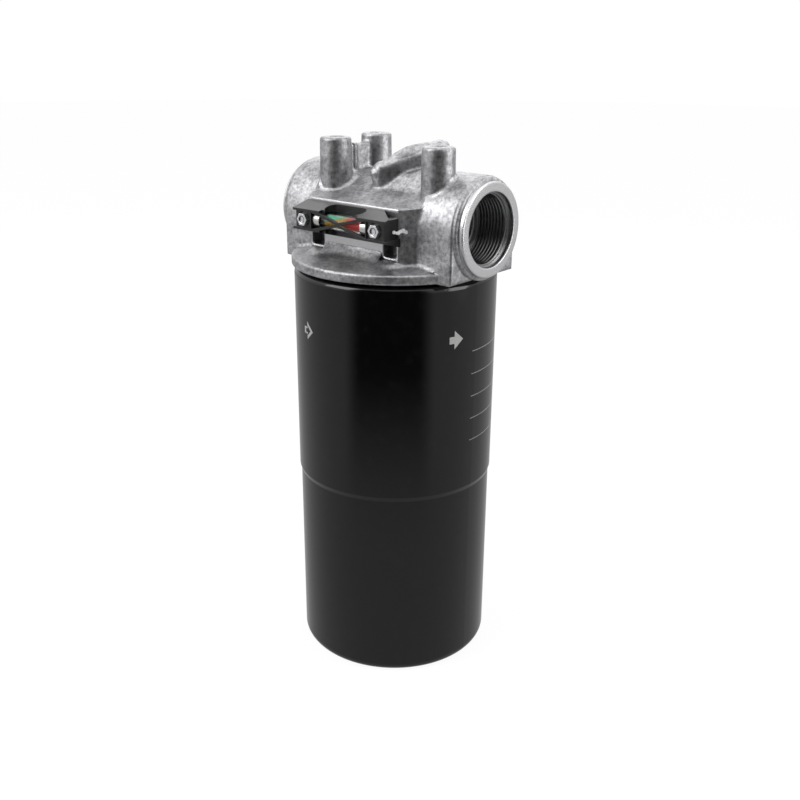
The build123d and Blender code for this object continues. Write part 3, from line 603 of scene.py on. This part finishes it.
def tree_mesh(name, tree, values, body, material):
    """Runs a geometry tree with its inputs set, and keeps the result as a plain mesh."""
    holder = new_object(name + "_tree", bpy.data.meshes.new(name + "_seed"))
    modifier = holder.modifiers.new("build", "NODES")
    modifier.node_group = tree
    by_name = {s.name: s.identifier for s in tree.interface.items_tree
               if s.item_type == "SOCKET" and s.in_out == "INPUT"}
    for key, value in values.items():
        modifier[by_name[key]] = value
    result = holder.evaluated_get(bpy.context.evaluated_depsgraph_get())
    mesh = bpy.data.meshes.new_from_object(result)
    mesh.name = name
    piece = new_object(name, mesh)
    holder.modifiers.remove(modifier)
    bpy.data.objects.remove(holder)
    mesh.materials.clear()
    mesh.materials.append(material)
    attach(piece, body)
    return piece


def evened(name, bm, cell, rounds, sink=0.0):
    """Mesh of one even, smoothed skin over all that is in a bmesh, drawn in by sink."""
    rough = bpy.data.meshes.new(name + "_rough")
    bm.to_mesh(rough)
    bm.free()
    holder = new_object(name + "_rough", rough)
    even = holder.modifiers.new("even", "REMESH")
    even.mode = "VOXEL"
    even.voxel_size = cell
    calm = holder.modifiers.new("calm", "SMOOTH")
    calm.factor = 0.5
    calm.iterations = rounds
    if sink:
        drawn_in = holder.modifiers.new("sink", "DISPLACE")
        drawn_in.strength = -sink
        drawn_in.mid_level = 0.0
    result = holder.evaluated_get(bpy.context.evaluated_depsgraph_get())
    mesh = bpy.data.meshes.new_from_object(result)
    bpy.data.objects.remove(holder)
    return mesh


def smooth_piece(name, mesh, material):
    """Object of smooth faces and one material."""
    for face in mesh.polygons:
        face.use_smooth = True
    mesh.materials.clear()
    mesh.materials.append(material)
    return new_object(name, mesh)


def add_ball(bm, place, radius):
    bmesh.ops.create_icosphere(bm, subdivisions=3, radius=radius, matrix=Matrix.Translation(place))


def thread_tree():
    """Helical ridge of tapered section on the wall of a hole, about the hole's own axis."""
    tree = bpy.data.node_groups.new("thread_ridge", "GeometryNodeTree")
    for name, kind, default in (
        ("Wall radius", "NodeSocketFloat", 0.0209), ("Ridge height", "NodeSocketFloat", 0.0014),
        ("Pitch", "NodeSocketFloat", 0.0023), ("Turns", "NodeSocketFloat", 9.0),
        ("Crest width", "NodeSocketFloat", 0.0004), ("Steps per turn", "NodeSocketInt", 72),
        ("Place", "NodeSocketVector", (0, 0, 0)), ("Turn", "NodeSocketVector", (0, 0, 0)),
        ("Finish", "NodeSocketMaterial", None),
    ):
        socket = tree.interface.new_socket(name, in_out="INPUT", socket_type=kind)
        if default is not None:
            socket.default_value = default
    tree.interface.new_socket("Mesh", in_out="OUTPUT", socket_type="NodeSocketGeometry")
    add, link = tree.nodes.new, tree.links.new
    given = add("NodeGroupInput").outputs
    result = add("NodeGroupOutput")

    def number(operation, a, b=0.0):
        node = add("ShaderNodeMath")
        node.operation = operation
        for value, socket in zip((a, b), node.inputs):
            plug(tree, value, socket)
        return node.outputs[0]

    spiral = add("GeometryNodeCurveSpiral")
    link(given["Steps per turn"], spiral.inputs["Resolution"])
    link(given["Turns"], spiral.inputs["Rotations"])
    link(given["Wall radius"], spiral.inputs["Start Radius"])
    link(given["Wall radius"], spiral.inputs["End Radius"])
    link(number("MULTIPLY", given["Pitch"], given["Turns"]), spiral.inputs["Height"])
    upright = add("GeometryNodeSetCurveNormal")
    upright.mode = "Z_UP"
    link(spiral.outputs[0], upright.inputs["Curve"])

    section = add("GeometryNodeCurvePrimitiveQuadrilateral")
    section.mode = "TRAPEZOID"
    link(given["Pitch"], section.inputs["Bottom Width"])
    link(given["Crest width"], section.inputs["Top Width"])
    link(given["Ridge height"], section.inputs["Height"])
    section.inputs["Offset"].default_value = 0.0
    shift = add("ShaderNodeCombineXYZ")
    link(number("MULTIPLY", given["Ridge height"], 0.5), shift.inputs["Y"])
    onto_wall = add("GeometryNodeTransform")
    link(section.outputs[0], onto_wall.inputs["Geometry"])
    link(shift.outputs[0], onto_wall.inputs["Translation"])

    sweep = add("GeometryNodeCurveToMesh")
    link(upright.outputs[0], sweep.inputs["Curve"])
    link(onto_wall.outputs[0], sweep.inputs["Profile Curve"])
    sweep.inputs["Fill Caps"].default_value = True
    place = add("GeometryNodeTransform")
    link(sweep.outputs[0], place.inputs["Geometry"])
    link(given["Place"], place.inputs["Translation"])
    link(given["Turn"], place.inputs["Rotation"])
    real = add("GeometryNodeRealizeInstances")
    link(place.outputs[0], real.inputs[0])
    finish = add("GeometryNodeSetMaterial")
    link(real.outputs[0], finish.inputs["Geometry"])
    link(given["Finish"], finish.inputs["Material"])
    link(finish.outputs[0], result.inputs[0])
    return tree


def grid_block(bm, across, along, top_of, floor_z):
    """Closed block with a flat floor, whose top is a height over a grid of points."""
    tops = [[bm.verts.new((x, y, top_of(x, y))) for y in along] for x in across]
    floors = [[bm.verts.new((x, y, floor_z)) for y in along] for x in across]
    last_x, last_y = len(across) - 1, len(along) - 1
    for i in range(last_x):
        for j in range(last_y):
            bm.faces.new((tops[i][j], tops[i + 1][j], tops[i + 1][j + 1], tops[i][j + 1]))
            bm.faces.new((floors[i][j], floors[i][j + 1], floors[i + 1][j + 1], floors[i + 1][j]))
    for i in range(last_x):
        for j in (0, last_y):
            bm.faces.new((tops[i][j], tops[i + 1][j], floors[i + 1][j], floors[i][j]))
    for j in range(last_y):
        for i in (0, last_x):
            bm.faces.new((tops[i][j], tops[i][j + 1], floors[i][j + 1], floors[i][j]))


def steps(low, high, size):
    """Even steps of about that size, from low to high."""
    count = max(1, round((high - low) / size))
    return [low + (high - low) * i / count for i in range(count + 1)]


def saddle_height(x, y):
    """Roof of the outlet passage, which swells out of the deck towards the barrel."""
    radius = SADDLE_R - SADDLE_NARROWING * max(0.0, (SADDLE_FULL_X - x) / SADDLE_FULL_X)
    roof = PORT.z + math.sqrt(max(0.0, radius ** 2 - y ** 2))
    ramp = SADDLE_RAMP_Z + (y - SADDLE_RAMP_Y) * SADDLE_RAMP_SLOPE
    return max(SADDLE_LOW_Z, min(roof, ramp))


def toe_height(x, y):
    """Hollow foot that runs from the pad down to the flange."""
    away = HOUSING_HI.y - y
    curve = TOE_CURVE_Z + TOE_RISE * max(0.0, 1.0 - away / TOE_REACH) ** TOE_POWER
    side = max(0.0, abs(x) - (TOE_HALF_X - away * TOE_NARROWING)) * TOE_SIDE_SLOPE
    if abs(x) > TOE_PAD_HALF_X:
        curve = min(curve, TOE_SIDE_TOP_Z)
    return max(TOE_LOW_Z, curve - side)


def rib_crest(bm):
    """Rounded crest of the rib, as overlapping balls along its line."""
    line = (RIB_END - RIB_START).normalized()
    stations = [tuple(a + (b - a) * share for a, b in zip(near, far))
                for near, far in zip(RIB_CREST, RIB_CREST[1:]) for share in (0.0, 0.25, 0.5, 0.75)]
    for along, crest, radius in stations + [RIB_CREST[-1]]:
        place = RIB_START + line * along
        add_ball(bm, (place.x, place.y, crest - radius), radius)


def on_outside(point):
    """True on the outer cast skin, away from bores, holes, pockets and the pad."""
    x, y, z = point
    reach = abs(x)
    bore_r = 0.0235 if reach > 0.046 else 0.0205
    in_bore = math.hypot(y, z - PORT.z) < bore_r
    on_port_face = reach > 0.0672
    on_flange = z < 0.2716
    over_can = z < 0.2732 and math.hypot(x, y) < 0.047
    in_passage = abs(y) < 0.016 and z < 0.302 and reach < 0.047
    in_chamber = -0.0394 < y < 0.031 and z < 0.300 and reach < 0.034
    before_pad = y < -0.0389 and (z > 0.2815 or (reach > 0.0238 and z > 0.2768))
    beside_pad = y < -0.0310 and 0.0236 < reach < 0.0352 and 0.2775 < z < 0.2870
    if (in_bore or on_port_face or on_flange or over_can or in_passage or in_chamber
            or before_pad or beside_pad):
        return False
    return all(math.hypot(x - boss.x, y - boss.y) > BOSS_HOLE_R for boss in BOSSES)


def drop_crumbs(bm, fewest):
    """Deletes the loose patches that have fewer faces than the fewest."""
    seen = set()
    crumbs = []
    for first in bm.faces:
        if first in seen:
            continue
        patch, queue = [], [first]
        seen.add(first)
        while queue:
            face = queue.pop()
            patch.append(face)
            for edge in face.edges:
                for other in edge.link_faces:
                    if other not in seen:
                        seen.add(other)
                        queue.append(other)
        if len(patch) < fewest:
            crumbs += patch
    bmesh.ops.delete(bm, geom=crumbs, context="FACES")


def cast_blends(cell, rounds, material):
    """Fillets, swells and crest of the casting, standing proud of the plain solid."""
    bm = bmesh.new()
    bm.from_mesh(NODES["filter_head"].data)
    bmesh.ops.remove_doubles(bm, verts=bm.verts, dist=1e-6)
    surface = BVHTree.FromBMesh(bm)
    grid_block(bm, steps(*SADDLE_X), steps(*SADDLE_Y), saddle_height, SADDLE_BASE_Z)
    grid_block(bm, steps(*TOE_X), steps(*TOE_Y), toe_height, TOE_BASE_Z)
    rib_crest(bm)
    bmesh.ops.recalc_face_normals(bm, faces=bm.faces)
    skin = evened("cast_blends", bm, cell, rounds, BLEND_SINK)

    # Only what stands over the plain solid, on its outside, is kept.
    bm = bmesh.new()
    bm.from_mesh(skin)
    heights = {}
    for vert in bm.verts:
        height = -1.0
        if on_outside(vert.co):
            nearest, normal = surface.find_nearest(vert.co)[:2]
            height = (vert.co - nearest).dot(normal)
        heights[vert.index] = height
    sunk = [face for face in bm.faces
            if max(heights[v.index] for v in face.verts) < BLEND_SHOWS
            or min(heights[v.index] for v in face.verts) < -BLEND_BURIED]
    bmesh.ops.delete(bm, geom=sunk, context="FACES")
    drop_crumbs(bm, BLEND_PATCH)
    bmesh.ops.triangulate(bm, faces=bm.faces)
    mesh = bpy.data.meshes.new("cast_blends")
    bm.to_mesh(mesh)
    bm.free()
    piece = smooth_piece("cast_blends", mesh, material)
    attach(piece, "head")
    return piece


def paint_dab():
    """White sealing paint from the end of the housing to the side of the pad."""
    bm = bmesh.new()
    for x, y, z, radius in PAINT_BALLS:
        add_ball(bm, (x, y, z), radius)
    mesh = evened("paint", bm, PAINT_CELL, PAINT_ROUNDS)
    piece = smooth_piece("paint_dab", mesh, moulded("Sealing paint", (0.62, 0.62, 0.63), 0.5, grain=700.0))
    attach(piece, "head")
    return piece


# ------------------------------------------------------------------ properties
def colour_property(name, text, default):
    return FloatVectorProperty(name=name, description=text, default=default, subtype="COLOR", min=0, max=1)


def length_property(name, text, default):
    return FloatProperty(name=name, description=text, default=default, unit="LENGTH", precision=5)


def share_property(name, text, default):
    return FloatProperty(name=name, description=text, default=default, min=0, max=1)


def level_property(name, text, default):
    return FloatProperty(name=name, description=text, default=default, min=0)


def angle_property(name, text, degrees):
    return FloatProperty(name=name, description=text, default=math.radians(degrees), subtype="ANGLE")


class CastingLook(bpy.types.PropertyGroup):
    dark: colour_property("Dark skin", "Darker patches of the cast skin", (0.25, 0.25, 0.26))
    light: colour_property("Light skin", "Lighter patches of the cast skin", (0.56, 0.56, 0.575))
    # The colour of pits also paints the shade in tight corners and on the counterbore wall.
    pit_and_shade: colour_property("Pits", "Colour in pits and corners", (0.055, 0.055, 0.06))
    # This edge colour is partly wear and partly a painted highlight on the cast edges.
    wear_and_highlight: colour_property("Worn edges", "Edges rubbed bright", (0.72, 0.72, 0.73))
    machined: colour_property("Machined", "Turned and milled faces", (0.56, 0.56, 0.57))
    machined_light: colour_property("Machined highs", "Tool marks on turned faces", (0.67, 0.67, 0.68))
    edge_radius: length_property("Edge radius", "Shaded rounding of the cast edges", 0.0016)
    grain: length_property("Grain", "Depth of the sand texture", 0.00022)
    blend_cell: length_property("Blend cell", "Mesh size of the casting's blends", 0.0010)
    blend_rounds: IntProperty(name="Blend rounds", description="Smoothing rounds of the blends",
                              default=12, min=0, max=60)
    metallic: share_property("Metallic", "Share of metal in the skin", 0.92)
    roughness: share_property("Roughness", "Roughness of the cast skin", 0.44)


class ThreadSizes(bpy.types.PropertyGroup):
    port_radius: length_property("Port thread radius", "Wall radius of the port thread", 0.020955)
    port_pitch: length_property("Port pitch", "Eleven turns to the inch", 0.002309)
    port_height: length_property("Port ridge", "Height of the port thread", 0.00142)
    port_length: length_property("Port length", "Threaded length of a port", 0.0227)
    steps: IntProperty(name="Steps", description="Steps in a turn of the port thread",
                       default=96, min=12, max=256)


class PaintLook(bpy.types.PropertyGroup):
    black: colour_property("Paint", "Black stoved paint on the can", (0.0016, 0.0016, 0.0018))
    mark: colour_property("Print", "Printed marks on the can", (0.36, 0.36, 0.35))
    roughness: share_property("Roughness", "Roughness of the paint", 0.12)


class IndicatorLook(bpy.types.PropertyGroup):
    plastic: colour_property("Housing", "Black moulded housing", (0.0065, 0.0065, 0.007))
    dark_band: colour_property("Dark band", "First band of the piston", (0.008, 0.008, 0.008))
    green: colour_property("Green", "Clean range", (0.035, 0.34, 0.20))
    # Amber is darkened as a painted shadow of the housing, and for the tint of the tube.
    amber: colour_property("Amber", "Change-soon range", (0.30, 0.16, 0.012))
    red: colour_property("Red", "Change-now range", (0.42, 0.014, 0.010))


class StageLook(bpy.types.PropertyGroup):
    lens: FloatProperty(name="Lens", description="Focal length", default=43.94, min=10, max=200)
    turn: angle_property("Turn", "Camera direction round the part", 40.4)
    tilt: angle_property("Tilt", "Camera tilt below the horizon", 20.58)
    roll: angle_property("Roll", "Camera roll", 0.401)
    distance: length_property("Distance", "Level distance from the can's axis", 0.6130)
    height: length_property("Height", "Camera height over the can's base", 0.4011)
    aside: length_property("Aside", "Sideways place of the camera", 0.00319)
    dark_turn: angle_property("Dark side", "Direction of the studio's dark side", 34.0)
    dark_level: level_property("Dark level", "Reflected level of the dark side", 0.02)
    wall_level: level_property("Walls", "Reflected level of the walls", 0.9)
    ceiling_level: level_property("Ceiling", "Reflected level of the ceiling", 1.7)
    room_level: level_property("Room", "Plain light of the room", 0.55)


LOOKS = (("casting", CastingLook), ("thread", ThreadSizes), ("paint", PaintLook),
         ("indicator", IndicatorLook), ("stage", StageLook))


def sector_share(tree, x, y, turn):
    """1 towards the dark side of the studio and 0 elsewhere, and the level distance."""
    level = from_origin(tree, x, y)
    facing = math_node(tree, "MULTIPLY_ADD", x, math.sin(turn), times(tree, y, -math.cos(turn)))
    cosine = math_node(tree, "DIVIDE", facing, math_node(tree, "MAXIMUM", level, 0.0001))
    return fade(tree, cosine, 0.62, 0.86), level


def floor_material(look):
    """White to the eye, with the part's shadow; darker in reflections away from the part."""
    material = bpy.data.materials.new("White floor")
    tree, output = empty_tree(material, "ShaderNodeOutputMaterial")
    matt = tree.nodes.new("ShaderNodeBsdfDiffuse")
    matt.inputs["Color"].default_value = (0.85, 0.85, 0.85, 1)
    glow = tree.nodes.new("ShaderNodeEmission")
    glow.inputs["Strength"].default_value = 1.06
    paths = tree.nodes.new("ShaderNodeLightPath").outputs
    seen = math_node(tree, "MAXIMUM", paths["Is Camera Ray"], paths["Is Transmission Ray"])
    open_floor = mix_shader(tree, times(tree, seen, 0.88), matt.outputs[0], glow.outputs[0])

    x, y, _ = axes(tree, object_point(tree))
    dark, level = sector_share(tree, x, y, look.dark_turn)
    far = fade(tree, level, 0.20, 0.72)
    reflected = mix_number(tree, far, 0.55, mix_number(tree, dark, 0.55, look.dark_level))
    mirror = tree.nodes.new("ShaderNodeEmission")
    plug(tree, reflected, mirror.inputs["Strength"])
    both = mix_shader(tree, paths["Is Glossy Ray"], open_floor, mirror.outputs[0])
    tree.links.new(both, output.inputs["Surface"])
    return material


def studio_world(look):
    """White walls and ceiling, with one dark opening that shiny faces reflect."""
    world = bpy.data.worlds.new("Studio")
    tree, output = empty_tree(world, "ShaderNodeOutputWorld")
    paths = tree.nodes.new("ShaderNodeLightPath").outputs
    x, y, z = axes(tree, tree.nodes.new("ShaderNodeTexCoord").outputs["Generated"])
    dark = sector_share(tree, x, y, look.dark_turn)[0]
    dark = times(tree, dark, fade(tree, z, 0.55, 0.9, 1.0, 0.0))
    walls = mix_number(tree, fade(tree, z, 0.1, 0.9), look.wall_level, look.ceiling_level)

    def background(strength):
        node = tree.nodes.new("ShaderNodeBackground")
        node.inputs["Color"].default_value = (1, 1, 1, 1)
        plug(tree, strength, node.inputs["Strength"])
        return node.outputs[0]

    room = background(look.room_level)
    mirror = background(mix_number(tree, dark, walls, look.dark_level))
    shiny = mix_shader(tree, paths["Is Glossy Ray"], room, mirror)
    seen = math_node(tree, "MAXIMUM", paths["Is Camera Ray"], paths["Is Transmission Ray"])
    both = mix_shader(tree, seen, shiny, background(1.0))
    tree.links.new(both, output.inputs["Surface"])
    return world


# ------------------------------------------------------------------- operators
class FILTER_OT_head(bpy.types.Operator):
    """Cast finish of the head, with its machined faces"""
    bl_idname = "filter.head"
    bl_label = "Head casting"

    def execute(self, context):
        look = context.scene.filter_casting
        skin = cast_metal("Cast aluminium", look)
        coat("filter_head", skin)
        cast_blends(look.blend_cell, look.blend_rounds, skin)
        return {"FINISHED"}


class FILTER_OT_threads(bpy.types.Operator):
    """Threads in the two ports"""
    bl_idname = "filter.threads"
    bl_label = "Port threads"

    def execute(self, context):
        sizes = context.scene.filter_thread
        finish = thread_metal(sizes)
        tree = thread_tree()
        turns = sizes.port_length / sizes.port_pitch - 1.0
        for name, side in (("outlet_thread", 1), ("inlet_thread", -1)):
            start_x = side * (PORT.x - sizes.port_pitch * 0.5)
            piece = tree_mesh(name, tree, {
                "Wall radius": sizes.port_radius, "Ridge height": sizes.port_height,
                "Pitch": sizes.port_pitch, "Turns": turns, "Steps per turn": sizes.steps,
                "Place": (start_x, 0.0, PORT.z), "Turn": (0.0, -side * math.pi / 2, 0.0),
                "Finish": finish,
            }, "head", finish)
        return {"FINISHED"}


class FILTER_OT_can(bpy.types.Operator):
    """Glossy paint and printed marks of the can, and the pieces at its top"""
    bl_idname = "filter.can"
    bl_label = "Spin-on can"

    def execute(self, context):
        coat("can_shell", can_paint(context.scene.filter_paint))
        coat("seam_lid", plain_metal("Zinc sheet", (0.45, 0.45, 0.44), 0.35))
        coat("base_plate", plain_metal("Zinc plate", (0.40, 0.40, 0.40), 0.4, grain=260.0))
        coat("can_gasket", moulded("Gasket rubber", (0.012, 0.012, 0.012), 0.55))
        return {"FINISHED"}


class FILTER_OT_element(bpy.types.Operator):
    """Finishes of the filter element and the valve parts inside"""
    bl_idname = "filter.element"
    bl_label = "Element and valve"

    def execute(self, context):
        sheet = plain_metal("Tinned sheet", (0.52, 0.51, 0.49), 0.32)
        for node in ("top_end_cap", "bottom_end_cap", "centre_tube", "bypass_cage"):
            coat(node, sheet)
        wire = plain_metal("Spring wire", (0.33, 0.32, 0.30), 0.28, grain=700.0)
        for node in ("element_spring", "bypass_spring", "indicator_spring"):
            coat(node, wire)
        turned = plain_metal("Turned steel", (0.42, 0.42, 0.41), 0.3, grain=1200.0, stretch=(6, 1, 1))
        for node in ("bypass_seat", "bypass_poppet"):
            coat(node, turned)
        coat("nipple", stud_metal())
        rubber = moulded("Seal rubber", (0.010, 0.010, 0.010), 0.5)
        for node in ("element_seal", "tube_seals", "tap_seals"):
            coat(node, rubber)
        coat("pleated_media", moulded("Filter paper", (0.72, 0.62, 0.42), 0.85, grain=1500.0, height=0.00006))
        return {"FINISHED"}


class FILTER_OT_indicator(bpy.types.Operator):
    """Clogging indicator: housing, tube, sleeves, coloured piston, screws and sealing paint"""
    bl_idname = "filter.indicator"
    bl_label = "Indicator"

    def execute(self, context):
        look = context.scene.filter_indicator
        coat("indicator_housing", moulded("Black housing", look.plastic, 0.38, wear_and_highlight=0.05))
        sleeve = plain_metal("Bright sleeve", (0.70, 0.69, 0.67), 0.22, grain=1500.0, stretch=(5, 1, 1))
        for node in ("indicator_collar_left", "indicator_collar_right"):
            coat(node, sleeve)
        half_pitch = (SCREW_HI.x - SCREW_LO.x) / 2 - SCREW_HEAD_R
        coat("indicator_screws", screw_metal((SCREW_LO + SCREW_HI) / 2, half_pitch))
        coat("indicator_glass", clear_tube())
        coat("indicator_piston", piston_colours(look))
        paint_dab()
        return {"FINISHED"}


class FILTER_OT_stage(bpy.types.Operator):
    """White floor, studio lights and the camera"""
    bl_idname = "filter.stage"
    bl_label = "Stage"

    def execute(self, context):
        look = context.scene.filter_stage
        scene = context.scene
        scene.view_settings.view_transform = "Standard"

        bm = bmesh.new()
        bmesh.ops.create_circle(bm, cap_ends=True, radius=FLOOR_R, segments=64)
        mesh = bpy.data.meshes.new("floor")
        bm.to_mesh(mesh)
        bm.free()
        floor = new_object("floor", mesh)
        floor.location.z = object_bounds()[0].z - FLOOR_GAP
        mesh.materials.append(floor_material(look))
        floor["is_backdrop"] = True
        scene.world = studio_world(look)

        for name, azimuth, height, distance, size, power in LIGHTS:
            lamp = bpy.data.lights.new(name, "AREA")
            lamp.shape = "RECTANGLE"
            lamp.size, lamp.size_y = size
            lamp.energy = power
            obj = new_object(name, lamp)
            a = math.radians(azimuth)
            obj.location = Vector((math.sin(a) * distance, -math.cos(a) * distance, height))
            obj.rotation_euler = (LIGHTS_AIM - obj.location).to_track_quat("-Z", "Y").to_euler()

        camera = bpy.data.cameras.new("camera")
        camera.lens = look.lens
        camera.sensor_width = 36.0
        camera.clip_start, camera.clip_end = 0.01, 50.0
        eye = new_object("camera", camera)
        turn = Matrix.Rotation(look.turn, 4, "Z")
        tilt = Matrix.Rotation(math.pi / 2 - look.tilt, 4, "X")
        roll = Matrix.Rotation(look.roll, 4, "Z")
        place = Matrix.Translation(turn @ Vector((look.aside, -look.distance, look.height)))
        eye.matrix_world = place @ (turn @ tilt @ roll)
        scene.camera = eye
        return {"FINISHED"}


OPERATORS = (FILTER_OT_head, FILTER_OT_threads, FILTER_OT_can, FILTER_OT_element,
             FILTER_OT_indicator, FILTER_OT_stage)


class FILTER_PT_panel(bpy.types.Panel):
    """Steps that dress the filter"""
    bl_label = "Return line filter"
    bl_idname = "FILTER_PT_panel"
    bl_space_type = "VIEW_3D"
    bl_region_type = "UI"
    bl_category = "Filter"

    def draw(self, context):
        for step in OPERATORS:
            self.layout.operator(step.bl_idname)
        for name, group in LOOKS:
            box = self.layout.box()
            look = getattr(context.scene, "filter_" + name)
            for key in group.__annotations__:
                box.prop(look, key)


CLASSES = tuple(group for _, group in LOOKS) + OPERATORS + (FILTER_PT_panel,)


def register():
    for item in CLASSES:
        bpy.utils.register_class(item)
    for name, group in LOOKS:
        setattr(bpy.types.Scene, "filter_" + name, PointerProperty(type=group))


def unregister():
    for name, _ in LOOKS:
        delattr(bpy.types.Scene, "filter_" + name)
    for item in reversed(CLASSES):
        bpy.utils.unregister_class(item)


def main():
    register()
    for step in (bpy.ops.filter.head, bpy.ops.filter.threads, bpy.ops.filter.can,
                 bpy.ops.filter.element, bpy.ops.filter.indicator, bpy.ops.filter.stage):
        step()


if __name__ == "__main__":
    main()
